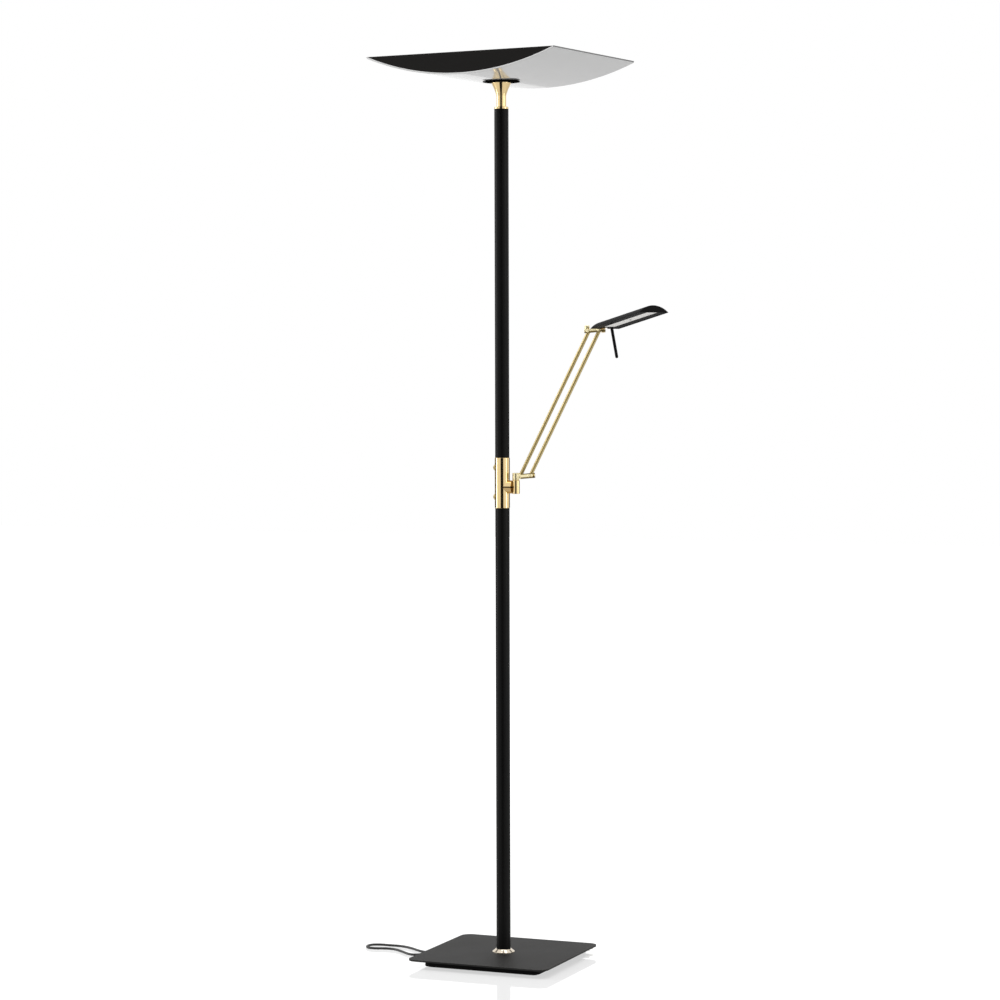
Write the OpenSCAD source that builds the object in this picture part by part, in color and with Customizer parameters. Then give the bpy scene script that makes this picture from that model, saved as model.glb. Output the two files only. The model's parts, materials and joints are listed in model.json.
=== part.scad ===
// Floor uplighter with a curved trough shade and a parallel-rod reading arm.
// Millimetres, Z up. The origin is the middle of the base's underside, on the pole's axis.
// The arm leaves the pole along +X. The switches are on the -X side and the mains lead leaves there too.

/* [Base] */
// Side of the square base plate
plate_side = 297; // [270:1:340]
// Thickness of the base plate
plate_t = 3; // [2:0.5:5]
// Corner radius of the base plate
plate_corner_r = 20; // [8:1:40]
// Side of the weight block under the plate
block_side = 245; // [236:1:250]
// Height of the weight block
block_h = 13; // [12:0.5:20]
// Corner radius of the weight block
block_corner_r = 14; // [6:1:30]
// Thickness of the steel cover under the block
cover_t = 1; // [0.8:0.1:2]
// Thickness of the felt under the cover
felt_t = 1; // [0.8:0.1:3]
// Length of the LED driver in the block
driver_len = 76; // [50:1:78]
// Width of the LED driver
driver_w = 54; // [30:1:56]
// Height of the LED driver
driver_h = 9.5; // [6:0.5:10]
// Outer diameter of the collar at the foot of the pole
collar_d = 45; // [40:1:60]
// Height of the collar at the foot of the pole
collar_h = 6.5; // [5:0.5:14]

/* [Pole] */
// Outer diameter of the pole
pole_d = 28.5; // [26:0.5:29]
// Wall of the pole
pole_wall = 1.5; // [1:0.25:1.75]
// Length of the lower pole
lower_pole_len = 892; // [700:1:1000]
// Length of the upper pole
upper_pole_len = 692; // [500:1:800]
// Length of the plugs pressed into the pole's ends
plug_len = 30; // [20:1:60]

/* [Sleeve and switches] */
// Outer diameter of the brass sleeve
sleeve_d = 30; // [29.5:0.5:34]
// Length of the brass sleeve
sleeve_len = 100; // [94:1:130]
// Diameter of the room inside the sleeve
sleeve_room_d = 22; // [21:0.5:23]
// Length of the sleeve's spigots in the poles
spigot_len = 20; // [10:1:40]
// Diameter of the push-buttons
button_d = 8; // [6:0.5:8.5]
// How far a button stands out of its ring
button_out = 1.6; // [1.2:0.1:3]
// Travel of a button
button_travel = 1; // [0.5:0.1:1.1]
// Outer diameter of the rings round the buttons
ring_d = 12; // [11:0.5:14]
// How far a ring stands out of the sleeve
ring_out = 1.8; // [1:0.1:3]
// Height of the lower button above the sleeve's lower end
low_button_up = 22; // [12:1:25]
// Distance between the two buttons
button_apart = 58.5; // [50:0.5:64]

/* [Arm bracket] */
// Diameter of the round boss between sleeve and barrel
boss_d = 26.5; // [16:0.5:27]
// Height of the boss above the sleeve's lower end
boss_up = 42; // [36:1:50]
// Distance from the pole's axis to the arm's swivel axis
swivel_x = 29.4; // [28:0.2:36]
// Diameter of the swivel barrel
barrel_d = 15; // [13:0.5:18]
// Height of the swivel barrel
barrel_h = 27; // [20:1:34]
// Diameter of the swivel pin
swivel_pin_d = 6; // [4:0.5:6]

/* [Arm] */
// Distance between the rod pivots, from eye to eye
rod_len = 323.5; // [250:0.5:400]
// Diameter of the rods
rod_d = 7.2; // [6:0.1:8]
// Distance between the two pivots of a bar
pivot_apart = 22.4; // [20:0.2:26]
// Distance from the swivel axis to the first pivot
first_pivot_x = 8.6; // [8.6:0.1:12]
// Rise of the bars, in degrees
bar_rise = 5; // [0:1:8]
// Lean of the rods from the vertical in the stored pose, in degrees
arm_lean = 27.1; // [20:0.1:50]
// Height of the lower bar
low_bar_h = 10; // [8:0.5:12]
// Height of the upper bar
top_bar_h = 7; // [6:0.5:8]
// Thickness of the cheeks of a bar
cheek_t = 2.5; // [1.5:0.1:3.5]
// Diameter of the pivot pins
pivot_d = 4; // [3:0.1:4.4]
// Length of a bar past its outer pivot
bar_over = 7.5; // [7:0.5:12]

/* [Reading head] */
// Length of the hood
hood_len = 162; // [130:1:200]
// Width of the hood
hood_w = 70; // [60:1:90]
// Rise of the hood's arch
hood_rise = 14; // [13:0.5:18]
// Wall of the hood
hood_wall = 1.2; // [1:0.1:1.6]
// Turn of the head about its swivel in the stored pose, in degrees
head_yaw = -33; // [-60:1:0]
// Upward pitch of the head in the stored pose, in degrees
head_pitch = 10.5; // [0:0.5:15]
// Width of the light strip
strip_w = 24; // [16:1:30]
// Length of the handle below the hood
handle_len = 61; // [40:1:70]
// Diameter of the handle
handle_d = 6; // [5:0.5:7]
// How far the handle leans out of square (degrees)
handle_lean = 4.5; // [0:0.5:10]
// Diameter of the cap on the upper bar's outer end
bar_cap_d = 10; // [8:0.5:12]

/* [Neck and shade] */
// Diameter of the neck's straight part
neck_d = 19.5; // [16:0.5:20]
// Height of the neck's straight part
neck_h = 26; // [15:1:40]
// Height of the neck's flare
flare_h = 26; // [15:1:35]
// Diameter of the flare's top
flare_d = 39; // [30:1:50]
// Diameter of the black disc
disc_d = 74; // [60:1:90]
// Thickness of the black disc at its middle
disc_t = 1.8; // [1.4:0.1:3]
// Height of the saddle between disc and shade
saddle_t = 0.4; // [0.3:0.1:4]
// Outer diameter of the shade's threaded stem
stem_d = 10; // [8:0.5:11]
// Width of the trough, across the curve
shade_w = 418; // [360:1:480]
// Length of the trough, along its axis
shade_len = 342; // [320:1:420]
// Depth of the trough
shade_sag = 41; // [34:1:60]
// Thickness of the shade's sheet
sheet_t = 3; // [2:0.5:5]
// Turn of the shade about the pole in the stored pose, in degrees
shade_turn = -6.5; // [-45:0.5:45]
// Inset of the end panels from the shade's edges
panel_inset = 2; // [1:0.5:8]
// Thickness of the end panels
panel_t = 2; // [1.5:0.5:4]
// Width of the light tray
tray_w = 76; // [70:1:110]
// Length of the light tray
tray_len = 290; // [260:1:310]

/* [Mains lead] */
// Diameter of the mains lead
lead_d = 5; // [4.8:0.1:5.2]
// Step from turn to turn of the folded lead
lead_step = 5.9; // [5.8:0.1:6.2]
// Length of the folded lead's straight runs
fold_run = 85; // [75:1:95]
// Turns of the folded lead
fold_turns = 4; // [4:2:6]

/* [Hidden] */

$fn = 64;

// Colours
black_satin = [0.07, 0.07, 0.075];
brass_polished = [0.86, 0.68, 0.36];
white_gloss = [0.93, 0.93, 0.92];
opal = [0.95, 0.95, 0.93];
alu = [0.75, 0.76, 0.78];
steel = [0.62, 0.63, 0.65];
iron = [0.16, 0.16, 0.17];
lead_black = [0.05, 0.05, 0.05];

// Clearances
run_clear = 0.05;   // radial, a pin turning in its bore
face_clear = 0.3;   // between flat faces that turn past each other
side_clear = 0.2;   // an eye between two cheeks
open_clear = 0.35;  // radial, the linkage's open pivot
eps = 0.01;

// Heights of the base
cover_z = felt_t;
block_z = cover_z + cover_t;
plate_z = block_z + block_h;
plate_top = plate_z + plate_t;
gland_y = -20;
gland_z = block_z + 5.5;
gland_reach = 22;
gland_bore_d = 7;
pocket_wall = 13;
pocket_gap = 3;
pocket_depth = driver_h + 1;
stud_d = 10;
nut_flat = 17;
nut_h = 5;
nut_room_d = 26;
nut_room_h = 7;

// Heights along the pole
pole_id = pole_d - 2 * pole_wall;
sleeve_z = plate_top + lower_pole_len;
sleeve_top = sleeve_z + sleeve_len;
pole_top = sleeve_top + upper_pole_len;
low_button_z = sleeve_z + low_button_up;
high_button_z = low_button_z + button_apart;
flange_d = button_d + 2;
flange_t = 1.2;
button_in = sqrt(pow(sleeve_room_d / 2, 2) - pow(flange_d / 2, 2)) - 0.2;

// Arm bracket
boss_z = sleeve_z + boss_up;
barrel_z = boss_z - barrel_h / 2;
barrel_top = barrel_z + barrel_h;
knuckle_h = 14;
pin_cap_r = barrel_d / 2 - 2.5;
cap_depth = 3;
knuckle_z = barrel_top + face_clear;

// Arm linkage, in the plane of the arm
eye_r = rod_d / 2 + 0.4;
eye_w = rod_d + 0.4;
slot_w = eye_w + 2 * side_clear;
bar_w = slot_w + 2 * cheek_t;
slot_back = eye_r + 0.4;
pivot_a = [swivel_x + first_pivot_x, knuckle_z + knuckle_h / 2 + 0.2];
bar_way = [cos(bar_rise), sin(bar_rise)];
rod_way = [sin(arm_lean), cos(arm_lean)];
pivot_b = pivot_a + pivot_apart * bar_way;
top_a = pivot_a + rod_len * rod_way;
top_b = pivot_b + rod_len * rod_way;
pivot_head_d = 6.6;
pivot_head_h = 1.4;

// Reading head's swivel and tilt
head_stud_d = 5;
end_boss_d = 9;
end_boss_h = 4.6;
end_x = top_b[0] + slot_back + 1 + head_stud_d / 2;
end_z = top_b[1] + (end_x - top_b[0]) * tan(bar_rise) + 0.3;
flange_z = end_z + face_clear;
flange_h = 1.2;
tongue_w = 3.8;
tongue_r = 3;
lug_t = 2.4;
lug_w = tongue_w + 2 * side_clear + 2 * lug_t;
tilt_pin_d = 3;
tilt_z = flange_z + flange_h + face_clear + tongue_r;
notch_w = 13;
notch_len = 5.5;
cap_rise = 11;
cap_back = 4;

// Inside of the reading head, from its tilt pin
hood_x = 4;
hood_under = -4.6;
hood_r = (pow(hood_w / 2, 2) + pow(hood_rise, 2)) / (2 * hood_rise);
hood_mid_z = hood_under + hood_rise - hood_r;
tray_recess = 1;
tray_t = 2.4;
tray_floor = hood_under + tray_recess;
tray_back = tray_floor + tray_t;
strip_x = hood_x + 16;
strip_len = hood_x + hood_len - 6 - strip_x;
board_t = 1.6;
sink_x = strip_x + 2;
sink_w = 20;
sink_len = strip_len - 4;
handle_x = hood_x + 12;
neck_ring_h = 4;
handle_y = 8;
head_led_count = 12;

// Neck and shade
neck_top = pole_top + neck_h + flare_h;
washer_t = 0.5;
disc_z = neck_top + washer_t + face_clear;
sheet_z = disc_z + disc_t + saddle_t;
trough_r = (pow(shade_w / 2, 2) + pow(shade_sag, 2)) / (2 * shade_sag);
trough_mid_z = sheet_z + sheet_t + trough_r;
shade_top = sheet_z + sheet_t + shade_sag;
stem_nut_h = 5;
nut_seat = 14;
stem_z = pole_top - nut_seat - 8;
stem_top = sheet_z + sheet_t + 5.8;
stem_bore_d = lead_d + 0.6;
tray_top = sheet_z + sheet_t + 8;
board_w = 26;
board_len = tray_len - 20;
board_x = 18;
led_rows = 12;
diffuser_wall = 2;
diffuser_h = 22;

// Mains lead's route, from the strain relief out to the left and back, then round to the folded lead
lead_low = 2.6;
route_out = [[-155, -20, 7], [-165, -21, 5], [-176, -24, 3.2], [-189, -26, 2.6], [-203, -20, 2.6],
    [-222, -5, 2.6], [-240, 8, 2.6], [-257, 13, 2.6], [-274, 10, 2.6]];
route_turn = [[-291, 5, 2.6], [-306, 10, 2.6], [-313, 25, 2.6], [-307, 40, 2.6], [-291, 46, 2.6]];
route_back = [[-273, 46, 2.6], [-255, 47, 2.6], [-236, 43, 2.6], [-217, 33, 2.6], [-199, 20, 2.6],
    [-184, 11, 2.6], [-169, 8, 2.6], [-156, 15, 2.6], [-149, 29, 2.6], [-147, 48, 2.6],
    [-146, 68, 2.6], [-144.5, 88, 2.6], [-142, 105, 2.6], [-133, 119, 2.6]];

// Folded lead
fold_in_r = 15;
fold_draw = 10;
fold_lift = 0.9;
fold_layer = 5.6;
fold_turning = 0.125;
fold_out_r = fold_in_r + (fold_turns / 2 + fold_turning) * lead_step;
fold_mid = [-55, block_side / 2 + fold_out_r + 3.3];
fold_start = [fold_mid[0] - fold_run / 2 - lead_d, fold_mid[1] - fold_out_r, lead_low];
fold_end = [fold_mid[0] + fold_run / 2 + lead_d, fold_mid[1] - fold_out_r, lead_low + fold_layer];
arc_rings = 7;
run_rings = 5;
strap_w = 8;
strap_t = 0.7;
strap_gap = 0.1;

// Plug
plug_w = 35.3;
plug_t = 13.7;
plug_body = 36;
plug_cone = 20;
plug_pin_d = 4;
plug_pin_len = 19;
plug_pin_apart = 18.6;
plug_at = [fold_end[0] + 66, fold_mid[1] - 10, plug_t / 2];
route_plug = [fold_end + [10, 0, 0], fold_end + [21, 2, -0.1], fold_end + [33, 8, -0.6],
    plug_at + [-21, -4.2, 0.2], plug_at + [-9, -0.7, 0]];

// Shared shapes

module rounded_square(side, r) {
    half = side / 2 - r;
    square([side, side - 2 * r], center = true);
    square([side - 2 * r, side], center = true);
    for (x = [-half, half], y = [-half, half])
        translate([x, y]) circle(r = r);
}

module rounded_slab(side, r, h) {
    linear_extrude(h) rounded_square(side, r);
}

module along_x(x, y, z) {
    translate([x, y, z]) rotate([0, 90, 0]) children();
}

module along_y(x, y, z) {
    translate([x, y, z]) rotate([-90, 0, 0]) children();
}

module hex_nut(flat, h, bore) {
    difference() {
        cylinder(d = flat / cos(30), h = h, $fn = 6);
        translate([0, 0, -eps]) cylinder(d = bore, h = h + 2 * eps);
    }
}

module tube_ring(od, id, h) {
    difference() {
        cylinder(d = od, h = h);
        translate([0, 0, -eps]) cylinder(d = id, h = h + 2 * eps);
    }
}

// Points of a smooth curve through the given points

function spline_point(a, b, c, d, t) =
    0.5 * (2 * b + (c - a) * t + (2 * a - 5 * b + 4 * c - d) * t * t + (3 * b - a - 3 * c + d) * t * t * t);

function smooth(pts, steps) = [
    for (i = [0 : len(pts) - 2], k = [0 : steps - 1])
        let (a = i > 0 ? pts[i - 1] : 2 * pts[0] - pts[1],
            d = i < len(pts) - 2 ? pts[i + 2] : 2 * pts[len(pts) - 1] - pts[len(pts) - 2])
            spline_point(a, pts[i], pts[i + 1], d, k / steps),
    pts[len(pts) - 1]];

function unit(v) = v / norm(v);

function way_at(pts, i) = unit(pts[min(i + 1, len(pts) - 1)] - pts[max(i - 1, 0)]);

function path_length(pts, i = 1) = i >= len(pts) ? 0 : norm(pts[i] - pts[i - 1]) + path_length(pts, i + 1);

module swept_tube(pts, d, sides) {
    n = len(pts);
    rings = [for (i = [0 : n - 1])
        let (t = way_at(pts, i), s = unit(cross(t, [0, 0, 1])), u = cross(s, t))
            for (k = [0 : sides - 1])
                pts[i] + d / 2 * (cos((k + 0.5) * 360 / sides) * s + sin((k + 0.5) * 360 / sides) * u)];
    walls = [for (i = [0 : n - 2], k = [0 : sides - 1])
        let (a = i * sides + k, b = i * sides + (k + 1) % sides)
            each [[a, b, b + sides], [a, b + sides, a + sides]]];
    start_cap = [for (k = [1 : sides - 2]) [0, k + 1, k]];
    last = (n - 1) * sides;
    end_cap = [for (k = [1 : sides - 2]) [last, last + k, last + k + 1]];
    polyhedron(points = rings, faces = concat(walls, start_cap, end_cap), convexity = 10);
}

// Base

module base_plate() {
    color(black_satin)
        difference() {
            translate([0, 0, plate_z]) rounded_slab(plate_side, plate_corner_r, plate_t);
            translate([0, 0, plate_z - eps]) cylinder(d = stud_d + 0.6, h = plate_t + 2 * eps);
        }
}

pocket_x = -block_side / 2 + pocket_wall;
pocket_y = gland_y - driver_w / 2 - pocket_gap;

module base_block() {
    color(iron)
        difference() {
            translate([0, 0, block_z]) rounded_slab(block_side, block_corner_r, block_h);
            translate([0, 0, block_z - eps]) cylinder(d = nut_room_d, h = nut_room_h + eps);
            translate([0, 0, block_z]) cylinder(d = stud_d + 0.6, h = block_h + eps);
            translate([pocket_x, pocket_y, block_z - eps])
                cube([driver_len + 2 * pocket_gap, driver_w + 2 * pocket_gap, pocket_depth + eps]);
            translate([pocket_x + driver_len, -4, block_z - eps])
                cube([-pocket_x - driver_len, 8, nut_room_h + eps]);
            along_x(-block_side / 2 - 1, gland_y, gland_z) cylinder(d = gland_bore_d, h = pocket_wall + 2);
            cover_screw_places(block_z - eps) cylinder(d = 3.6, h = 8);
        }
}

module cover_screw_places(z) {
    for (x = [-1, 1], y = [-1, 1])
        translate([x * (block_side / 2 - 16), y * (block_side / 2 - 16), z]) children();
}

module bottom_cover() {
    color(steel)
        difference() {
            translate([0, 0, cover_z]) rounded_slab(block_side - 8, block_corner_r - 4, cover_t);
            cover_screw_places(cover_z - eps) cylinder(d = 3.6, h = cover_t + 2 * eps);
        }
}

module cover_screws() {
    color(steel)
        cover_screw_places(cover_z) cylinder(d = 3.6, h = 8);
}

module felt_pad() {
    color([0.12, 0.12, 0.12])
        rounded_slab(block_side - 12, block_corner_r - 6, felt_t);
}

module driver() {
    color([0.85, 0.85, 0.83])
        difference() {
            translate([pocket_x + pocket_gap, pocket_y + pocket_gap, block_z])
                cube([driver_len, driver_w, driver_h]);
            for (y = [gland_y, 0])
                along_x(pocket_x + (y == 0 ? driver_len - 6 : pocket_gap - 1), y, gland_z)
                    cylinder(d = lead_d + 1, h = 11);
        }
}

module foot_plug() {
    color(alu)
        translate([0, 0, plate_top]) tube_ring(pole_id, stud_d, plug_len);
}

module foot_stud() {
    color(steel)
        translate([0, 0, block_z + 1]) tube_ring(stud_d, 6.5, plate_top - block_z - 1 + plug_len);
}

module foot_nut() {
    color(steel) {
        translate([0, 0, block_z + nut_room_h - nut_h - 1]) hex_nut(nut_flat, nut_h, stud_d);
        translate([0, 0, block_z + nut_room_h - 1]) tube_ring(nut_room_d - 2, stud_d + 0.6, 1);
    }
}

module foot_collar() {
    color(brass_polished)
        translate([0, 0, plate_top])
            rotate_extrude()
                polygon([[pole_d / 2, 0], [collar_d / 2, 0], [collar_d / 2, 1.2],
                    [pole_d / 2 + 2.4, collar_h - 0.8], [pole_d / 2 + 1.6, collar_h],
                    [pole_d / 2, collar_h]]);
}

module strain_relief() {
    color(lead_black)
        translate([-block_side / 2, gland_y, gland_z])
            rotate([0, -90, 0])
                difference() {
                    rotate_extrude()
                        polygon([[0, -pocket_wall - 2], [gland_bore_d / 2 + 1, -pocket_wall - 2],
                            [gland_bore_d / 2 + 1, -pocket_wall], [gland_bore_d / 2, -pocket_wall],
                            [gland_bore_d / 2, 0], [4.9, 0], [4.9, 2], [4.2, 2.6], [4.2, 5], [4.5, 5.4],
                            [4.5, 7.4], [3.9, 8], [3.9, 10.4], [4.2, 10.8], [4.2, 12.8], [3.6, 13.4],
                            [3.6, 15.8], [3.8, 16.2], [3.8, 18.2], [3.1, 19], [3.1, gland_reach],
                            [0, gland_reach]]);
                }
}

// Pole

module lower_pole() {
    color(black_satin)
        translate([0, 0, plate_top]) tube_ring(pole_d, pole_id, lower_pole_len);
}

module upper_pole() {
    color(black_satin)
        translate([0, 0, sleeve_top]) tube_ring(pole_d, pole_id, upper_pole_len);
}

module top_plug() {
    color(alu)
        translate([0, 0, pole_top - plug_len]) tube_ring(pole_id, neck_d, plug_len);
}

module inner_lead() {
    color(lead_black) {
        translate([0, 0, block_z + 5]) cylinder(d = lead_d, h = sleeve_z - block_z, $fn = 24);
        translate([0, 0, sleeve_top - 5]) cylinder(d = lead_d, h = stem_top - sleeve_top + 5, $fn = 24);
    }
}

// Sleeve with its push-buttons

module dimmer_sleeve() {
    room_r = sleeve_room_d / 2;
    spigot_r = pole_id / 2;
    bore_r = spigot_r - 2.5;
    color(brass_polished)
        difference() {
            rotate_extrude($fn = 96)
                polygon([[bore_r, sleeve_z - spigot_len], [spigot_r, sleeve_z - spigot_len],
                    [spigot_r, sleeve_z], [sleeve_d / 2 - 0.4, sleeve_z], [sleeve_d / 2, sleeve_z + 0.4],
                    [sleeve_d / 2, sleeve_top - 0.4], [sleeve_d / 2 - 0.4, sleeve_top],
                    [spigot_r, sleeve_top], [spigot_r, sleeve_top + spigot_len],
                    [bore_r, sleeve_top + spigot_len], [bore_r, sleeve_top - 3], [room_r, sleeve_top - 4],
                    [room_r, sleeve_z + 4], [bore_r, sleeve_z + 3]]);
            for (z = [low_button_z, high_button_z])
                along_x(-sleeve_d, 0, z) cylinder(d = button_d + 2 * run_clear, h = sleeve_d);
            along_x(0, 0, boss_z) cylinder(d = 5, h = sleeve_d);
        }
}

module button_rings() {
    color(brass_polished)
        for (z = [low_button_z, high_button_z])
            difference() {
                along_x(-sleeve_d / 2 - ring_out, 0, z)
                    difference() {
                        union() {
                            translate([0, 0, 0.5]) cylinder(d = ring_d, h = ring_out + 3);
                            cylinder(d1 = ring_d - 1, d2 = ring_d, h = 0.5);
                        }
                        translate([0, 0, -eps]) cylinder(d = button_d + 2 * run_clear, h = ring_out + 4);
                    }
                translate([0, 0, z - ring_d]) cylinder(d = sleeve_d, h = 2 * ring_d, $fn = 96);
            }
}

module push_button(z) {
    face_x = sleeve_d / 2 + ring_out + button_out;
    color(brass_polished)
        along_x(-face_x, 0, z)
            rotate_extrude()
                polygon([[0, 0], [button_d / 2 - 0.6, 0], [button_d / 2, 0.6],
                    [button_d / 2, face_x - button_in], [flange_d / 2, face_x - button_in],
                    [flange_d / 2, face_x - button_in + flange_t], [0, face_x - button_in + flange_t]]);
}

module upper_button() {
    push_button(high_button_z);
}

module lower_button() {
    push_button(low_button_z);
}

board_x0 = -button_in + flange_t + button_travel + 0.2 + 3.6;
dimmer_len = sleeve_len - 10;
dimmer_w = 2 * sqrt(pow(sleeve_room_d / 2, 2) - pow(board_x0, 2)) - 0.1;

module dimmer_board() {
    color([0.1, 0.35, 0.2])
        translate([board_x0, -dimmer_w / 2, sleeve_z + 5])
            cube([board_t, dimmer_w, dimmer_len]);
}

module dimmer_switches() {
    color([0.1, 0.1, 0.1])
        for (z = [low_button_z, high_button_z])
            translate([board_x0 - 3.6, -3, z - 3]) cube([3.6, 6, 6]);
    color(alu)
        translate([board_x0 + board_t, -5, boss_z + 8]) cube([4, 10, 24]);
}

// Bracket of the reading arm

module arm_boss() {
    color(brass_polished)
        difference() {
            along_x(4, 0, boss_z) cylinder(d = boss_d, h = swivel_x - barrel_d / 2 + 1 - 4, $fn = 96);
            translate([0, 0, boss_z - boss_d]) cylinder(d = sleeve_d, h = 2 * boss_d, $fn = 96);
            translate([swivel_x, 0, boss_z - boss_d]) cylinder(d = barrel_d, h = 2 * boss_d);
            along_x(0, 0, boss_z) cylinder(d = 5, h = swivel_x);
        }
}

module boss_screw() {
    room_r = sleeve_room_d / 2;
    color(steel) {
        along_x(room_r - 1.4, 0, boss_z)
            cylinder(d = 5, h = swivel_x - swivel_pin_d / 2 - 1.2 - room_r + 1.4);
        along_x(room_r - 4.4, 0, boss_z) cylinder(d = 9, h = 3);
    }
}

module swivel_barrel() {
    color(brass_polished)
        difference() {
            translate([swivel_x, 0, barrel_z])
                rotate_extrude()
                    polygon([[swivel_pin_d / 2 + run_clear, cap_depth], [pin_cap_r + face_clear, cap_depth],
                        [pin_cap_r + face_clear, 0], [barrel_d / 2 - 0.5, 0], [barrel_d / 2, 0.5],
                        [barrel_d / 2, barrel_h - 0.5], [barrel_d / 2 - 0.5, barrel_h],
                        [swivel_pin_d / 2 + run_clear, barrel_h]]);
            along_x(swivel_x - barrel_d, 0, boss_z)
                cylinder(d = 5, h = barrel_d - swivel_pin_d / 2 - 1.2);
        }
}

module swivel_pin() {
    cap_top = cap_depth - face_clear;
    color(brass_polished) {
        translate([swivel_x, 0, barrel_z + cap_top])
            cylinder(d = swivel_pin_d, h = barrel_h - cap_top + face_clear + knuckle_h - 3);
        translate([swivel_x, 0, barrel_z])
            rotate_extrude()
                polygon([[0, 0.3], [pin_cap_r - 0.5, 0.3], [pin_cap_r, 0.8],
                    [pin_cap_r, cap_top], [0, cap_top]]);
    }
}

// Bars and rods of the reading arm, drawn in the arm's plane

module in_bar(at) {
    translate([at[0], 0, at[1]]) rotate([0, -bar_rise, 0]) children();
}

module pin_holes(a, b, d) {
    for (p = [a, b])
        along_y(p[0], -bar_w, p[1]) cylinder(d = d, h = 2 * bar_w);
}

module bar_body(a, back, ahead, h) {
    in_bar(a)
        difference() {
            translate([-back, -bar_w / 2, -h / 2]) cube([back + ahead, bar_w, h]);
            translate([-slot_back, -slot_w / 2, -h]) cube([ahead + 2 * h, slot_w, 2 * h]);
        }
}

module lower_bar() {
    color(brass_polished)
        difference() {
            union() {
                bar_body(pivot_a, slot_back + 1, pivot_apart + bar_over, low_bar_h);
                difference() {
                    translate([swivel_x, 0, knuckle_z]) cylinder(d = knuckle_h, h = knuckle_h);
                    in_bar(pivot_a)
                        translate([-slot_back, -slot_w / 2, -knuckle_h]) cube([30, slot_w, 2 * knuckle_h]);
                }
            }
            pin_holes(pivot_a, pivot_b, pivot_d);
            translate([swivel_x, 0, knuckle_z - 5]) cylinder(d = swivel_pin_d, h = knuckle_h - 3 + 5);
        }
}

module pivot_pin(at) {
    along_y(at[0], -bar_w / 2 - pivot_head_h, at[1]) {
        cylinder(d = pivot_d, h = bar_w + 2 * pivot_head_h);
        cylinder(d1 = pivot_head_d - 1, d2 = pivot_head_d, h = pivot_head_h);
        translate([0, 0, bar_w + pivot_head_h])
            cylinder(d1 = pivot_head_d, d2 = pivot_head_d - 1, h = pivot_head_h);
    }
}

module lower_pivots() {
    color(brass_polished) {
        pivot_pin(pivot_a);
        pivot_pin(pivot_b);
    }
}

module arm_rod(from, top_bore) {
    color(brass_polished)
        difference() {
            translate([from[0], 0, from[1]])
                rotate([0, arm_lean, 0])
                    union() {
                        cylinder(d = rod_d, h = rod_len);
                        for (z = [0, rod_len])
                            along_y(0, -eye_w / 2, z) cylinder(r = eye_r, h = eye_w);
                    }
            along_y(from[0], -rod_d, from[1]) cylinder(d = pivot_d + 2 * run_clear, h = 2 * rod_d);
            translate([from[0], 0, from[1]])
                rotate([0, arm_lean, 0])
                    along_y(0, -rod_d, rod_len) cylinder(d = top_bore, h = 2 * rod_d);
        }
}

module rod_a() {
    arm_rod(pivot_a, pivot_d + 2 * run_clear);
}

module rod_b() {
    arm_rod(pivot_b, pivot_d + 2 * open_clear);
}

module upper_bar() {
    back = slot_back + 0.8;
    ahead = pivot_apart + bar_over;
    cap_x = top_a[0] - cap_back;
    color(brass_polished)
        difference() {
            union() {
                in_bar(top_b)
                    translate([-ahead, -bar_w / 2, -top_bar_h / 2]) cube([ahead + back, bar_w, top_bar_h]);
                translate([end_x, 0, end_z - end_boss_h]) cylinder(d = end_boss_d, h = end_boss_h);
                translate([cap_x, 0, top_a[1]])
                    rotate_extrude()
                        polygon([[0, 0], [bar_cap_d / 2, 0], [bar_cap_d / 2, cap_rise - 1],
                            [bar_cap_d / 2 - 1, cap_rise], [0, cap_rise]]);
            }
            in_bar(top_b)
                translate([-2 * ahead, -slot_w / 2, -2 * top_bar_h])
                    cube([2 * ahead + slot_back, slot_w, 2 * top_bar_h + eye_r + 0.4]);
            in_bar(top_b)
                translate([-ahead + cap_back + bar_cap_d + 1, -slot_w / 2, 0])
                    cube([ahead - cap_back - bar_cap_d - 1 + slot_back, slot_w, 2 * top_bar_h]);
            pin_holes(top_a, top_b, pivot_d);
            translate([end_x, 0, end_z - 2 * end_boss_h])
                cylinder(d = head_stud_d + 2 * run_clear, h = 3 * end_boss_h);
            translate([end_x, 0, end_z]) cylinder(r = 6, h = 20);
        }
}

module upper_pivots() {
    color(brass_polished) {
        pivot_pin(top_a);
        pivot_pin(top_b);
    }
}

// Swivel and tilt of the reading head

module at_swivel() {
    translate([end_x, 0, 0]) rotate([0, 0, head_yaw]) children();
}

module at_head() {
    at_swivel() translate([0, 0, tilt_z]) rotate([0, -head_pitch, 0]) children();
}

module head_stud() {
    color(brass_polished) {
        translate([end_x, 0, end_z - end_boss_h - face_clear])
            cylinder(d = head_stud_d, h = end_boss_h + 2 * face_clear + flange_h);
        translate([end_x, 0, end_z - end_boss_h - face_clear - 1.4])
            rotate_extrude()
                polygon([[0, 0], [3.4, 0], [4, 0.6], [4, 1.4], [0, 1.4]]);
    }
}

module swivel_tongue() {
    color(brass_polished)
        at_swivel()
            difference() {
                union() {
                    translate([0, 0, flange_z]) cylinder(r = tongue_r + 1.2, h = flange_h);
                    translate([-tongue_r, -tongue_w / 2, flange_z + flange_h])
                        cube([2 * tongue_r, tongue_w, face_clear + tongue_r]);
                    along_y(0, -tongue_w / 2, tilt_z) cylinder(r = tongue_r, h = tongue_w);
                }
                translate([0, 0, flange_z - eps]) cylinder(d = head_stud_d, h = flange_h + eps);
                along_y(0, -tongue_w, tilt_z) cylinder(d = tilt_pin_d + 2 * run_clear, h = 2 * tongue_w);
            }
}

// Reading head, drawn from its tilt pin with its length along X

module tilt_pin() {
    color(steel)
        at_head()
            along_y(0, -lug_w / 2 - 0.6, 0) cylinder(d = tilt_pin_d, h = lug_w + 1.2);
}

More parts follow.
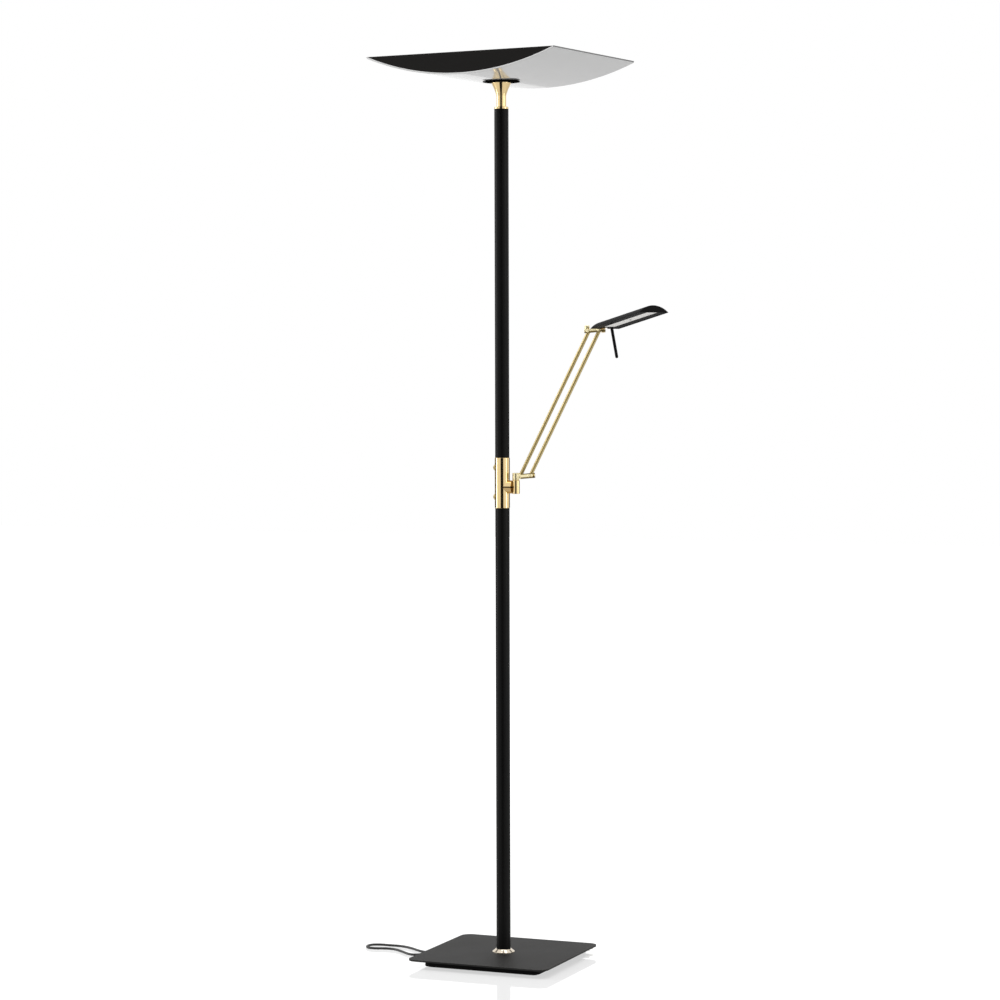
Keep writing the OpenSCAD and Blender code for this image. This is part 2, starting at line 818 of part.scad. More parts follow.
module head_lugs() {
    plate_x = hood_x + notch_len + 0.5;
    color(brass_polished)
        at_head()
            difference() {
                union() {
                    for (side = [-1, 1])
                        translate([0, side * (lug_w - lug_t) / 2 - lug_t / 2, 0]) {
                            along_y(0, 0, 0) cylinder(r = tongue_r, h = lug_t);
                            translate([0, 0, -0.8]) cube([sink_x - 1, lug_t, tongue_r + 0.8]);
                        }
                    translate([plate_x, -lug_w / 2, tray_back]) cube([sink_x - 1 - plate_x, lug_w, 1.6]);
                }
                along_y(0, -lug_w, 0) cylinder(d = tilt_pin_d, h = 2 * lug_w);
            }
}

module head_notch(up) {
    translate([0, -notch_w / 2, -hood_rise]) cube([hood_x + notch_len, notch_w, hood_rise + up]);
}

module hood_bulk(x, len, inset) {
    intersection() {
        along_x(x, 0, hood_mid_z) cylinder(r = hood_r - inset, h = len, $fn = 128);
        translate([x, -hood_w, hood_under]) cube([len, 2 * hood_w, 2 * hood_rise]);
    }
}

module head_hood() {
    color(black_satin)
        at_head()
            difference() {
                hood_bulk(hood_x, hood_len, 0);
                difference() {
                    translate([0, 0, -eps])
                        hood_bulk(hood_x + hood_wall, hood_len - 2 * hood_wall, hood_wall);
                    translate([hood_x, -hood_w, hood_under - 1]) cube([hood_len, 2 * hood_w, 1 - eps]);
                }
                head_notch(tongue_r + 0.5);
            }
}

module head_tray() {
    inner = hood_wall + 0.1;
    color(black_satin)
        at_head()
            difference() {
                intersection() {
                    along_x(hood_x + inner, 0, hood_mid_z)
                        cylinder(r = hood_r - inner, h = hood_len - 2 * inner, $fn = 128);
                    translate([0, -hood_w, tray_floor]) cube([2 * hood_len, 2 * hood_w, tray_t]);
                }
                head_notch(0);
                translate([strip_x, -strip_w / 2, tray_floor - 1]) cube([strip_len, strip_w, tray_t + 2]);
                translate([handle_x, handle_y, tray_floor - 1]) cylinder(d = handle_d - 2, h = tray_t + 2);
            }
}

module head_heat_sink() {
    color(alu)
        at_head()
            intersection() {
                along_x(sink_x, 0, hood_mid_z)
                    cylinder(r = hood_r - hood_wall - 0.15, h = sink_len, $fn = 128);
                translate([sink_x, -sink_w / 2, tray_back + board_t]) cube([sink_len, sink_w, 2 * hood_rise]);
            }
}

module head_board() {
    color(white_gloss)
        at_head()
            translate([sink_x, -strip_w / 2 - 2, tray_back]) cube([sink_len, strip_w + 4, board_t]);
}

module head_leds() {
    step = (sink_len - 10) / (head_led_count - 1);
    color([0.95, 0.85, 0.4])
        at_head()
            for (i = [0 : head_led_count - 1])
                if (abs(i - (head_led_count - 1) / 2) > 0.2)
                    translate([sink_x + 5 + i * step - 1.5, -1.5, tray_back - 0.8]) cube([3, 3, 0.8]);
}

module head_diffuser() {
    color(opal)
        at_head()
            difference() {
                translate([strip_x, -strip_w / 2, tray_floor]) cube([strip_len, strip_w, 1.4]);
                translate([strip_x + strip_len / 2, 0, tray_floor - 1]) cylinder(d = 2.5, h = 4);
            }
}

module diffuser_screw() {
    color(black_satin)
        at_head()
            translate([strip_x + strip_len / 2, 0, tray_floor - 0.7]) {
                cylinder(d = 2.5, h = 0.7 + tray_t);
                cylinder(d = 4, h = 0.7);
            }
}

module head_handle() {
    rod_r = handle_d / 2;
    screw_r = rod_r - 1;
    rod_top = handle_len + tray_recess - 1;
    color(black_satin)
        at_head()
            translate([handle_x, handle_y, tray_floor]) {
                rotate_extrude($fn = 48)
                    polygon([[0, -2.4], [rod_r - 0.1, -2.4], [rod_r + 0.5, -1.8], [rod_r + 0.5, 0],
                        [screw_r, 0], [screw_r, tray_t], [rod_r + 0.1, tray_t],
                        [rod_r + 0.1, tray_t + 1.4], [0, tray_t + 1.4]]);
                rotate([handle_lean, 0, 0])
                    translate([0, 0, -handle_len - tray_recess])
                        rotate_extrude($fn = 48)
                            polygon(concat(
                                [for (a = [-90 : 15 : 0]) rod_r * [cos(a), 1 + sin(a)]],
                                [[rod_r, rod_top], [0, rod_top]]));
            }
}

// Neck and swivel of the shade

module neck() {
    neck_r = neck_d / 2;
    bore_r = stem_d / 2 + run_clear;
    blend = [for (k = [0 : 6]) let (t = k / 6)
        [neck_r + (flare_d / 2 - neck_r) * pow(t, 1.25), pole_top + neck_h + (flare_h - 1) * t]];
    color(brass_polished)
        rotate_extrude($fn = 96)
            polygon(concat(
                [[bore_r, pole_top - nut_seat], [neck_r - 1.5, pole_top - nut_seat],
                    [neck_r - 1.5, pole_top - plug_len + 2], [neck_r, pole_top - plug_len + 2],
                    [neck_r, pole_top], [pole_d / 2, pole_top], [pole_d / 2, pole_top + neck_ring_h - 0.5],
                    [pole_d / 2 - 0.5, pole_top + neck_ring_h], [neck_r, pole_top + neck_ring_h]],
                blend,
                [[flare_d / 2, neck_top], [bore_r, neck_top]]));
}

module swivel_washer() {
    color([0.9, 0.9, 0.88])
        translate([0, 0, neck_top]) tube_ring(flare_d - 4, stem_d + 1, washer_t);
}

module shade_stem() {
    color(steel)
        translate([0, 0, stem_z]) tube_ring(stem_d, stem_bore_d, stem_top - stem_z);
}

module stem_nut() {
    color(steel) {
        translate([0, 0, pole_top - nut_seat - face_clear - stem_nut_h])
            tube_ring(neck_d - 4, stem_d, stem_nut_h);
        translate([0, 0, sheet_z + sheet_t + 0.6]) hex_nut(nut_flat, stem_nut_h - 0.4, stem_d);
        trough_seated(15, sheet_z + sheet_t + 0.6);
    }
}

// A round washer whose underside lies on the trough's inner face
module trough_seated(d, top) {
    at_shade()
        intersection() {
            translate([0, 0, sheet_z]) tube_ring(d + 4, stem_d, top - sheet_z);
            along_y(0, -50, trough_mid_z) cylinder(r = trough_r, h = 100, $fn = 720);
        }
}

module at_shade() {
    rotate([0, 0, shade_turn]) children();
}

// Black disc with a saddle that the sheet sits on
module shade_disc() {
    disc_r = disc_d / 2;
    saddle_r = (flare_d - 3) / 2;
    color(black_satin)
        at_shade()
            difference() {
                translate([0, 0, disc_z])
                    rotate_extrude($fn = 96)
                        polygon([[stem_d / 2, 0], [flare_d / 2, 0], [disc_r, 0.6], [disc_r, disc_t - 0.5],
                            [flare_d / 2, disc_t], [saddle_r, disc_t], [saddle_r, disc_t + saddle_t + 1],
                            [stem_d / 2, disc_t + saddle_t + 1]]);
                along_y(0, -50, trough_mid_z) cylinder(r = trough_r + sheet_t, h = 100, $fn = 360);
            }
}

// Shade with its light tray, the trough's axis along Y

module trough_block(r, len, top) {
    intersection() {
        along_y(0, -len / 2, trough_mid_z) cylinder(r = r, h = len, $fn = 360);
        translate([-shade_w / 2, -len / 2, sheet_z - 1]) cube([shade_w, len, top - sheet_z + 1]);
    }
}

module shade_sheet() {
    color(white_gloss)
        at_shade()
            difference() {
                trough_block(trough_r + sheet_t, shade_len, shade_top);
                along_y(0, -shade_len, trough_mid_z) cylinder(r = trough_r, h = 2 * shade_len, $fn = 360);
                cylinder(d = stem_d, h = 2 * shade_top);
            }
}

module end_panel(y) {
    color(black_satin)
        at_shade()
            translate([0, y, 0]) trough_block(trough_r, panel_t, shade_top - 0.5);
}

module front_panel() {
    end_panel(-shade_len / 2 + panel_inset + panel_t / 2);
}

module back_panel() {
    end_panel(shade_len / 2 - panel_inset - panel_t / 2);
}

module light_tray() {
    color(alu)
        at_shade()
            difference() {
                intersection() {
                    along_y(0, -tray_len / 2, trough_mid_z) cylinder(r = trough_r, h = tray_len, $fn = 360);
                    translate([-tray_w / 2, -tray_len / 2, sheet_z])
                        cube([tray_w, tray_len, tray_top - sheet_z]);
                }
                translate([0, 0, sheet_z]) cylinder(d = nut_room_d, h = tray_top - sheet_z - 1.5);
            }
}

module light_boards() {
    color(white_gloss)
        at_shade()
            for (side = [-1, 1])
                translate([side * board_x - board_w / 2, -board_len / 2, tray_top])
                    cube([board_w, board_len, board_t]);
}

module light_leds() {
    step = (board_len - 20) / (led_rows - 1);
    color([0.95, 0.85, 0.4])
        at_shade()
            for (side = [-1, 1], i = [0 : led_rows - 1])
                translate([side * board_x - 1.75, -board_len / 2 + 10 + i * step - 1.75, tray_top + board_t])
                    cube([3.5, 3.5, 1]);
}

module diffuser_outline(grow, drop) {
    half = tray_w / 2 + grow;
    top = sheet_z + sheet_t + diffuser_h + grow - diffuser_wall;
    r = 8 + grow;
    translate([0, -drop]) {
        translate([-half, sheet_z]) square([2 * half, top - sheet_z - r]);
        translate([-half + r, sheet_z]) square([2 * half - 2 * r, top - sheet_z]);
        for (side = [-1, 1])
            translate([side * (half - r), top - r]) circle(r = r);
    }
}

module light_diffuser() {
    cover_len = tray_len + 2 * diffuser_wall;
    color(opal)
        at_shade()
            intersection() {
                difference() {
                    translate([0, cover_len / 2, 0]) rotate([90, 0, 0])
                        linear_extrude(cover_len) diffuser_outline(diffuser_wall, 0);
                    translate([0, tray_len / 2, 0]) rotate([90, 0, 0])
                        linear_extrude(tray_len) diffuser_outline(0, 0);
                }
                along_y(0, -shade_len, trough_mid_z) cylinder(r = trough_r, h = 2 * shade_len, $fn = 360);
            }
}

// Mains lead, its folded hank and its plug

gland_tip = [-block_side / 2 - gland_reach, gland_y, gland_z];

route_mains = concat([gland_tip], route_out, route_turn, route_back,
    [fold_start - [2 * lead_d, 0, 0], fold_start]);
mains_curve = smooth(route_mains, 2);

// One turn of the fold has a front run, an end arc, a back run and an end arc
function fold_level(turns) = abs(turns - fold_turns / 2 - fold_turning);

function waist(x) = (1 + cos(180 * min(1, abs(x) / (fold_run / 2)))) / 2;

function climb(turns) = let (t = (turns - fold_turns / 2) * 4) t <= 0 ? 0 : t >= 1 ? 1 : t * t * (3 - 2 * t);

function fold_point(turns) =
    let (q = 4 * (turns - floor(turns)),
        seg = floor(q),
        t = q - seg,
        r = fold_in_r + lead_step * fold_level(turns),
        z = lead_low + fold_layer * climb(turns),
        a = seg == 1 ? -90 + 180 * t : 90 + 180 * t,
        x = seg == 0 ? fold_run * (t - 0.5) : seg == 2 ? fold_run * (0.5 - t)
            : seg == 1 ? fold_run / 2 + r * cos(a) : -fold_run / 2 + r * cos(a),
        w = seg == 0 || seg == 2 ? waist(x) : 0,
        y = seg == 0 ? -(r - fold_draw * w) : seg == 2 ? r - fold_draw * w : r * sin(a))
        [fold_mid[0] + x, fold_mid[1] + y, z + fold_lift * w];

fold_ticks = concat([for (i = [0 : fold_turns - 1])
    each concat([for (k = [0 : run_rings - 1]) i + 0.25 * k / run_rings],
        [for (k = [0 : arc_rings - 1]) i + 0.25 + 0.25 * k / arc_rings],
        [for (k = [0 : run_rings - 1]) i + 0.5 + 0.25 * k / run_rings],
        [for (k = [0 : arc_rings - 1]) i + 0.75 + 0.25 * k / arc_rings])],
    [for (k = [0 : run_rings]) fold_turns + 0.25 * k / run_rings]);

fold_curve = concat([fold_start], [for (s = fold_ticks) fold_point(s)], [fold_end]);

plug_curve = smooth(concat([fold_end], route_plug, [plug_at]), 2);

// Least gap between turns, measured from ring to ring
function least_gap(pts, skip) = min([for (i = [0 : len(pts) - 1 - skip], j = [i + skip : len(pts) - 1])
    norm(pts[i] - pts[j]) - lead_d]);

echo(lead_length = path_length(mains_curve) + path_length(fold_curve) + path_length(plug_curve));
echo(fold_gap = least_gap(fold_curve, 6));

module mains_lead() {
    color(lead_black) swept_tube(mains_curve, lead_d, 8);
}

module lead_hank() {
    color(lead_black) swept_tube(fold_curve, lead_d, 6);
}

module lead_tie() {
    low = lead_low + fold_lift - lead_d / 2 - strap_gap;
    high = lead_low + fold_lift + fold_layer + lead_d / 2 + strap_gap;
    half = fold_out_r - fold_draw + lead_d / 2 + strap_gap + 0.5;
    color([0.09, 0.09, 0.09])
        translate([fold_mid[0] - strap_w / 2, fold_mid[1], 0])
            difference() {
                translate([0, -half - strap_t, low - strap_t])
                    cube([strap_w, 2 * (half + strap_t), high - low + 2 * strap_t]);
                translate([-1, -half, low]) cube([strap_w + 2, 2 * half, high - low]);
            }
}

module plug_lead() {
    color(lead_black) swept_tube(plug_curve, lead_d, 8);
}

module plug() {
    color(lead_black)
        translate(plug_at) {
            along_x(0, 0, 0)
                rotate_extrude($fn = 48)
                    polygon([[0, 0], [3.1, 0], [3.6, 3], [3.3, 3.6], [3.3, 5.2], [4.1, 6], [4.1, 9],
                        [3.8, 9.6], [3.8, 11.2], [4.8, 12], [5.2, plug_cone], [0, plug_cone]]);
            translate([plug_cone, 0, 0])
                linear_extrude(plug_t, center = true)
                    polygon([[0, -8], [6, -13], [plug_body * 0.55, -plug_w / 2 + 1.5],
                        [plug_body, -plug_w / 2], [plug_body, plug_w / 2],
                        [plug_body * 0.55, plug_w / 2 - 1.5], [6, 13], [0, 8]]);
        }
    color(brass_polished)
        translate(plug_at)
            for (side = [-1, 1])
                along_x(plug_cone + plug_body, side * plug_pin_apart / 2, 0)
                    cylinder(d = plug_pin_d, h = plug_pin_len);
}

base_plate();
base_block();
bottom_cover();
cover_screws();
felt_pad();
driver();
foot_plug();
foot_stud();
foot_nut();
foot_collar();
strain_relief();
lower_pole();
dimmer_sleeve();
button_rings();
upper_button();
lower_button();
dimmer_board();
dimmer_switches();
inner_lead();
upper_pole();
arm_boss();
boss_screw();
swivel_barrel();
swivel_pin();
lower_bar();
lower_pivots();
rod_a();
rod_b();
upper_bar();
upper_pivots();
head_stud();
swivel_tongue();
tilt_pin();
head_lugs();
head_hood();
head_tray();
head_heat_sink();
head_board();
head_leds();
head_diffuser();
diffuser_screw();
head_handle();
top_plug();
neck();
swivel_washer();
shade_stem();
stem_nut();
shade_disc();
shade_sheet();
front_panel();
back_panel();
light_tray();
light_boards();
light_leds();
light_diffuser();
mains_lead();
lead_hank();
lead_tie();
plug_lead();
plug();
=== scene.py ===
# %% [markdown]
# # A reading-arm uplighter, dressed in Blender
# The lamp is a square weighted foot, a black pole in two lengths with a brass dimmer sleeve
# between them, a brass arm of two rods that carries a small black reading head, and a white
# shade, curved like a shallow trough, that throws its light at the ceiling. Its solids come
# from a CAD model and already have their real sizes. This lesson gives them their finishes,
# makes the mains lead and a few finer pieces, and takes the picture.

# %% Load the lamp's solids
import json
import math

import bmesh
import bpy
from mathutils import Matrix, Vector


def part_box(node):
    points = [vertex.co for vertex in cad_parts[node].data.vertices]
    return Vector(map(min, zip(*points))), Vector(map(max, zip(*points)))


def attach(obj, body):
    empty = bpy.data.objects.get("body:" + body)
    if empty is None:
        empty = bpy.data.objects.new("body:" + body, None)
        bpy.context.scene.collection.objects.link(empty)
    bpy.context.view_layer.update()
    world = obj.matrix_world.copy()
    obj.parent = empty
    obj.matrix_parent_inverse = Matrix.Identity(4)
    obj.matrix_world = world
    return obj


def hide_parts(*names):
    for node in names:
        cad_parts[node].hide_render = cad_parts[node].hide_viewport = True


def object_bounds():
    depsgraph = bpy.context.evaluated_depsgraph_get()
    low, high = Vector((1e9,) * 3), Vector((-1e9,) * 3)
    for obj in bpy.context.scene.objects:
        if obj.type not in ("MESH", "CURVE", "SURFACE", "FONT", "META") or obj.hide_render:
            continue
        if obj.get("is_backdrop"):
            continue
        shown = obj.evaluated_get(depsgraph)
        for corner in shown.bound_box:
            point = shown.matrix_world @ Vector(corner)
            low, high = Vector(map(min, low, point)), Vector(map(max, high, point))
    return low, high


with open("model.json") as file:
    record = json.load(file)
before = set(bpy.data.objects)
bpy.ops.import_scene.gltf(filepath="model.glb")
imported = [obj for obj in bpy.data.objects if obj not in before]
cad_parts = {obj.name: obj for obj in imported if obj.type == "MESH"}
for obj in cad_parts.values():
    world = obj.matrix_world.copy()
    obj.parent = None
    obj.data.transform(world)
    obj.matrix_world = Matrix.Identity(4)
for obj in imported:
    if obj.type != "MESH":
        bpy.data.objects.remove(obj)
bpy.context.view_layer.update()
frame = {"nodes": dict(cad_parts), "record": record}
solids = frame["nodes"]

# %% [markdown]
# ## The camera
# The photograph was taken from six metres away with a long lens at chest height, so the pole
# stays straight and the shade is seen a little from below. The square plate's two front edges
# gave the direction. It could be placed with a Track To constraint, but three plain directions,
# ahead, right and up, say exactly where it looks and how far it leans. The small angles are in
# radians.

# %% Stand the camera in front of the lamp
camera_azimuth = 22.65
camera_away = 5.98
camera_height = 1.1884
round_the_lamp = math.radians(camera_azimuth)
looking_down = 0.0439
turned_left = Matrix.Rotation(0.0008, 3, "Z")
leaning = 0.0027
standing = Vector((camera_away * math.sin(round_the_lamp),
                   -camera_away * math.cos(round_the_lamp), camera_height))
ahead = turned_left @ Vector((-math.sin(round_the_lamp) * math.cos(looking_down),
                              math.cos(round_the_lamp) * math.cos(looking_down),
                              -math.sin(looking_down)))
level = turned_left @ Vector((math.cos(round_the_lamp), math.sin(round_the_lamp), 0))
upright = level.cross(ahead)
right = level * math.cos(leaning) - upright * math.sin(leaning)
up = level * math.sin(leaning) + upright * math.cos(leaning)

lens = bpy.data.cameras.new("long_lens")
lens.lens = 108
lens.sensor_width = 36
lens.clip_start = 0.1
lens.clip_end = 80
camera = bpy.data.objects.new("camera", lens)
camera.matrix_world = Matrix((
    (right.x, up.x, -ahead.x, standing.x),
    (right.y, up.y, -ahead.y, standing.y),
    (right.z, up.z, -ahead.z, standing.z),
    (0, 0, 0, 1)))
bpy.context.scene.collection.objects.link(camera)
bpy.context.scene.camera = camera
print("camera", round(standing.length, 2), "m away, lens", lens.lens, "mm")

# %% [markdown]
# ## The mains lead
# A lead is a fixed length of something springy, so its route comes first and its thickness
# second. It leaves the foot's left side, runs out over the floor, turns back behind the foot and
# is folded there into a tied hank, as it comes out of its box. A bevelled curve would do, but a
# tube that we build ring by ring also gets a UV map that follows the lead, and its sheath
# can then be given the fine lines of extruded PVC. The route is given in millimetres, as in the
# CAD model, and turned into Blender's metres at its end.


# %% Draw a smooth line through the route's points
def smooth_line(points, steps=6):
    """The line of a springy lead that passes through all its points."""
    points = [Vector(p) for p in points]
    ends = [2 * points[0] - points[1]] + points + [2 * points[-1] - points[-2]]
    line = []
    for i in range(len(points) - 1):
        a, b, c, d = ends[i:i + 4]
        for k in range(steps):
            t = k / steps
            line.append(0.5 * (2 * b + (c - a) * t + (2 * a - 5 * b + 4 * c - d) * t * t
                               + (3 * b - a - 3 * c + d) * t ** 3))
    return line + [points[-1]]


def line_length(line):
    return sum((b - a).length for a, b in zip(line, line[1:]))


# %% [markdown]
# ### The folded hank
# A new lead is folded by a machine: it runs to and fro, each turn inside the last, then climbs
# one layer and comes out again, and the tie pulls in its waist. Points placed by hand would
# cross each other, so one formula says where the lead is after any share of a turn.

# %% Fold the spare lead into a hank
lead_d = 5
lead_low = 2.6
block_back = 122.5
off_the_block = 3.3
fold_turns = 4
fold_run = 85
fold_inner = 15
fold_step = 5.9
fold_layer = 5.6
fold_centre = fold_turns / 2 + 0.125
fold_outer = fold_inner + fold_centre * fold_step
fold_middle = Vector((-55, block_back + fold_outer + off_the_block, 0))
waist_pull = 10
waist_rise = 0.9
points_a_turn = 40


def fold_point(turns):
    """Where the lead is after so many turns: in towards the hank's middle, up, and out again."""
    quarter = 4 * (turns - math.floor(turns))
    part = int(quarter)
    t = quarter - part
    r = fold_inner + fold_step * abs(turns - fold_centre)
    climb = min(1, max(0, (turns - fold_turns / 2) * 4))
    z = lead_low + fold_layer * climb * climb * (3 - 2 * climb)
    if part in (0, 2):
        facing = 1 if part == 0 else -1
        x = facing * fold_run * (t - 0.5)
        waist = (1 + math.cos(math.pi * min(1, abs(x) / (fold_run / 2)))) / 2
        return fold_middle + Vector((x, -facing * (r - waist_pull * waist), z + waist_rise * waist))
    facing = 1 if part == 1 else -1
    angle = math.pi * (t - 0.5)
    return fold_middle + Vector((
        facing * (fold_run / 2 + r * math.cos(angle)), facing * r * math.sin(angle), z))


hank_half = fold_run / 2 + lead_d
hank_near = fold_middle.y - fold_outer
hank_start = Vector((fold_middle.x - hank_half, hank_near, lead_low))
hank_end = Vector((fold_middle.x + hank_half, hank_near, lead_low + fold_layer))
hank_points = points_a_turn * fold_turns + points_a_turn // 4
hank_line = [fold_point(i / points_a_turn) for i in range(hank_points + 1)]
hank_line = [hank_start] + hank_line + [hank_end]
print("hank", round(line_length(hank_line)), "mm in", fold_turns, "turns")

# %% [markdown]
# ### The lead's whole way
# A stiff new lead keeps some memory of its folds, so it wanders over the floor in easy bends. Its
# route is a few dozen points, most of them at the height of its own radius, joined to the hank
# and to the plug. A cloth or rope simulation would settle much the same way, but more slowly.

# %% Lay the lead from the foot to its plug
mm = 0.001
gland_tip = Vector((-144.5, -20, 7.5))
sinking = [(-155, -20, 7), (-165, -21, 5), (-176, -24, 3.2)]
over_the_floor = [(x, y, lead_low) for x, y in (
    (-189, -26), (-203, -20), (-222, -5), (-240, 8), (-257, 13), (-274, 10), (-291, 5),
    (-306, 10), (-313, 25), (-307, 40), (-291, 46), (-273, 46), (-255, 47), (-236, 43),
    (-217, 33), (-199, 20), (-184, 11), (-169, 8), (-156, 15), (-149, 29), (-147, 48),
    (-146, 68), (-144.5, 88), (-142, 105), (-133, 119))]
plug_mouth = Vector((58.5, 143.34, 6.85))
to_the_plug = [hank_end, hank_end + Vector((10, 0, 0)), hank_end + Vector((21, 2, -0.1)),
               hank_end + Vector((33, 8, -0.6)), plug_mouth + Vector((-21, -4.2, 0.2)),
               plug_mouth + Vector((-9, -0.7, 0)), plug_mouth]
into_the_hank = [hank_start - Vector((10, 0, 0)), hank_start]
floor_line = smooth_line([gland_tip] + sinking + over_the_floor + into_the_hank)
lead_line = floor_line + hank_line[1:-1] + smooth_line(to_the_plug)
lead_line = [p * mm for p in lead_line]
lead_length = line_length(lead_line)
print("lead", round(lead_length, 3), "m along", len(lead_line), "points")


# %% [markdown]
# ### From a line to a solid
# Extruded PVC has the same section everywhere, so the section is carried along the line. The
# section is kept from turning by taking each ring's side from the ring before it. Each face
# also gets its place round and along the lead as UV.

# %% Give the line a round sheath
def keep(name, mesh, smooth=True):
    """Puts a finished mesh in the scene, unmoved, and returns its object."""
    data = bpy.data.meshes.new(name)
    mesh.to_mesh(data)
    mesh.free()
    data.polygons.foreach_set("use_smooth", [smooth] * len(data.polygons))
    made = bpy.data.objects.new(name, data)
    bpy.context.scene.collection.objects.link(made)
    return made


def sheath(name, line, outline, across=None):
    """Carries an outline of points (side, over) along a line. Its UV runs round it and along it."""
    mesh = bmesh.new()
    uv = mesh.loops.layers.uv.new("along")
    side, rings, gone = across, [], [0.0]
    for i, here in enumerate(line):
        way = (line[min(i + 1, len(line) - 1)] - line[max(i - 1, 0)]).normalized()
        side = side or way.orthogonal()
        side = (side - way * side.dot(way)).normalized()
        over = way.cross(side)
        rings.append([mesh.verts.new(here + a * side + b * over) for a, b in outline])
        if i:
            gone.append(gone[-1] + (here - line[i - 1]).length)
    n = len(outline)
    for i in range(len(rings) - 1):
        for k in range(n):
            face = mesh.faces.new((rings[i][k], rings[i][(k + 1) % n],
                                   rings[i + 1][(k + 1) % n], rings[i + 1][k]))
            for loop, (u, v) in zip(face.loops, ((k, i), (k + 1, i), (k + 1, i + 1), (k, i + 1))):
                loop[uv].uv = (u / n, gone[v])
    mesh.faces.new(rings[0][::-1])
    mesh.faces.new(rings[-1])
    return keep(name, mesh)


def circle(r, sides):
    angles = [2 * math.pi * k / sides for k in range(sides)]
    return [(r * math.cos(a), r * math.sin(a)) for a in angles]


sheath_sides = 14
mains_sheath = sheath("mains_sheath", lead_line, circle(lead_d / 2 * mm, sheath_sides))
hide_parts("mains_lead", "lead_hank", "plug_lead")
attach(mains_sheath, "stand")
print("sheath of", len(mains_sheath.data.polygons), "faces")

# %% [markdown]
# ### The tie round the hank
# A strip of hook and loop tape, 8 mm wide, goes once round the hank's waist and lies on itself
# for two centimetres. It is the same kind of thing as the lead: an outline that follows a line.

# %% Wrap the tie
tie_low, tie_high, tie_half, tie_bend = 0.55, 12.05, 20.3, 4.5
straight_y, straight_z = 2 * (tie_half - tie_bend), tie_high - tie_low - 2 * tie_bend
arc = math.pi / 2 * tie_bend
once_round = 2 * (straight_y + straight_z + 2 * arc)


def round_the_hank(turns, lift):
    """A point on the tie's line, a rounded box seen along the hank, for 0 to 1 turn."""
    way = (turns % 1) * once_round
    y, z, heading = 0.0, tie_high, 0.0
    for kind, length in (("run", straight_y / 2), ("arc", arc), ("run", straight_z), ("arc", arc),
                         ("run", straight_y), ("arc", arc), ("run", straight_z), ("arc", arc),
                         ("run", straight_y / 2)):
        gone = min(way, length)
        if kind == "run":
            y, z = y + gone * math.cos(heading), z - gone * math.sin(heading)
        else:
            bend = gone / tie_bend
            y += tie_bend * (math.sin(heading + bend) - math.sin(heading))
            z += tie_bend * (math.cos(heading + bend) - math.cos(heading))
            heading += bend
        way -= gone
        if way <= 0:
            break
    outward = Vector((0, math.sin(heading), math.cos(heading)))
    return (Vector((fold_middle.x, fold_middle.y + y, z)) + outward * lift) * mm


lap = 22 / once_round
tie_start = -0.08
tie_steps = 90
lap_lift, lift_from = 0.75, 0.94
tie_line = []
for step in range(int(tie_steps * (1 + lap)) + 1):
    gone = step / tie_steps
    lifted = lap_lift * min(1, max(0, (gone - lift_from) / (1 - lift_from)))
    tie_line.append(round_the_hank(tie_start + gone, lifted))
half_width, half_thick = 4 * mm, 0.33 * mm
half_flat = half_width - 0.15 * mm
tape = [(-half_width, 0), (-half_flat, -half_thick), (half_flat, -half_thick),
        (half_width, 0), (half_flat, half_thick), (-half_flat, half_thick)]
hook_tie = sheath("hook_tie", tie_line, tape, Vector((1, 0, 0)))
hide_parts("lead_tie")
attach(hook_tie, "stand")
print("tie", round(line_length(tie_line) * 1000), "mm long")

# %% [markdown]
# ## Node trees, written as sums
# Materials and Geometry Nodes are both graphs. Wiring them by hand in a script is wordy, so one
# small class holds a socket: adding or multiplying it makes the Math node, and its method node
# makes every other one from its type, its settings and what goes into its sockets.


# %% The wire that carries a value
class Wire:
    """One value on its way through a node tree."""

    def __init__(self, tree, socket=None):
        self.tree, self.socket = tree, socket

    def node(self, kind, settings=None, sockets=None, out=0):
        """Adds a node with its settings, then its sockets by name or number. Returns one output."""
        made = self.tree.nodes.new(kind)
        for name, value in (settings or {}).items():
            setattr(made, name, value)
        for name, value in (sockets or {}).items():
            if isinstance(value, Wire):
                self.tree.links.new(value.socket, made.inputs[name])
            else:
                made.inputs[name].default_value = value
        return Wire(self.tree, made.outputs[out]) if made.outputs else None

    def sum(self, operation, *values):
        return self.node("ShaderNodeMath", {"operation": operation}, dict(enumerate(values)))

    def __add__(self, other):
        return self.sum("ADD", self, other)

    def __sub__(self, other):
        return self.sum("SUBTRACT", self, other)

    def __rsub__(self, other):
        return self.sum("SUBTRACT", other, self)

    def __mul__(self, other):
        return self.sum("MULTIPLY", self, other)

    def __truediv__(self, other):
        return self.sum("DIVIDE", self, other)

    def __gt__(self, other):
        return self.sum("GREATER_THAN", self, other)

    __radd__, __rmul__ = __add__, __mul__


# %% [markdown]
# ### What all finishes share
# Real surfaces differ by grain, relief and worn edges more than by colour. Each of these is one
# helper, so every finish below is a short recipe of them. They all read the place on the lamp,
# which needs no unwrapping and keeps the grain at its real size on every piece.

# %% Helpers for every finish
for plain in list(bpy.data.materials):
    bpy.data.materials.remove(plain)  # flat colours make room for finishes of the same names


def place_on_lamp(wire):
    """Object coordinates, which are the lamp's own frame in metres."""
    return wire.node("ShaderNodeTexCoord", out="Object")


def grain(wire, where, per_metre, detail=2.0, rough=0.5):
    """A random grain with so many specks to the metre, from 0 to 1."""
    return wire.node("ShaderNodeTexNoise", {}, {
        "Vector": where, "Scale": per_metre, "Detail": detail, "Roughness": rough})


def xyz(wire, place):
    """The three numbers of a place."""
    x = wire.node("ShaderNodeSeparateXYZ", {}, {"Vector": place})
    return [Wire(wire.tree, out) for out in x.socket.node.outputs]


def stretched(wire, where, scale):
    return wire.node("ShaderNodeMapping", {}, {"Vector": where, "Scale": scale})


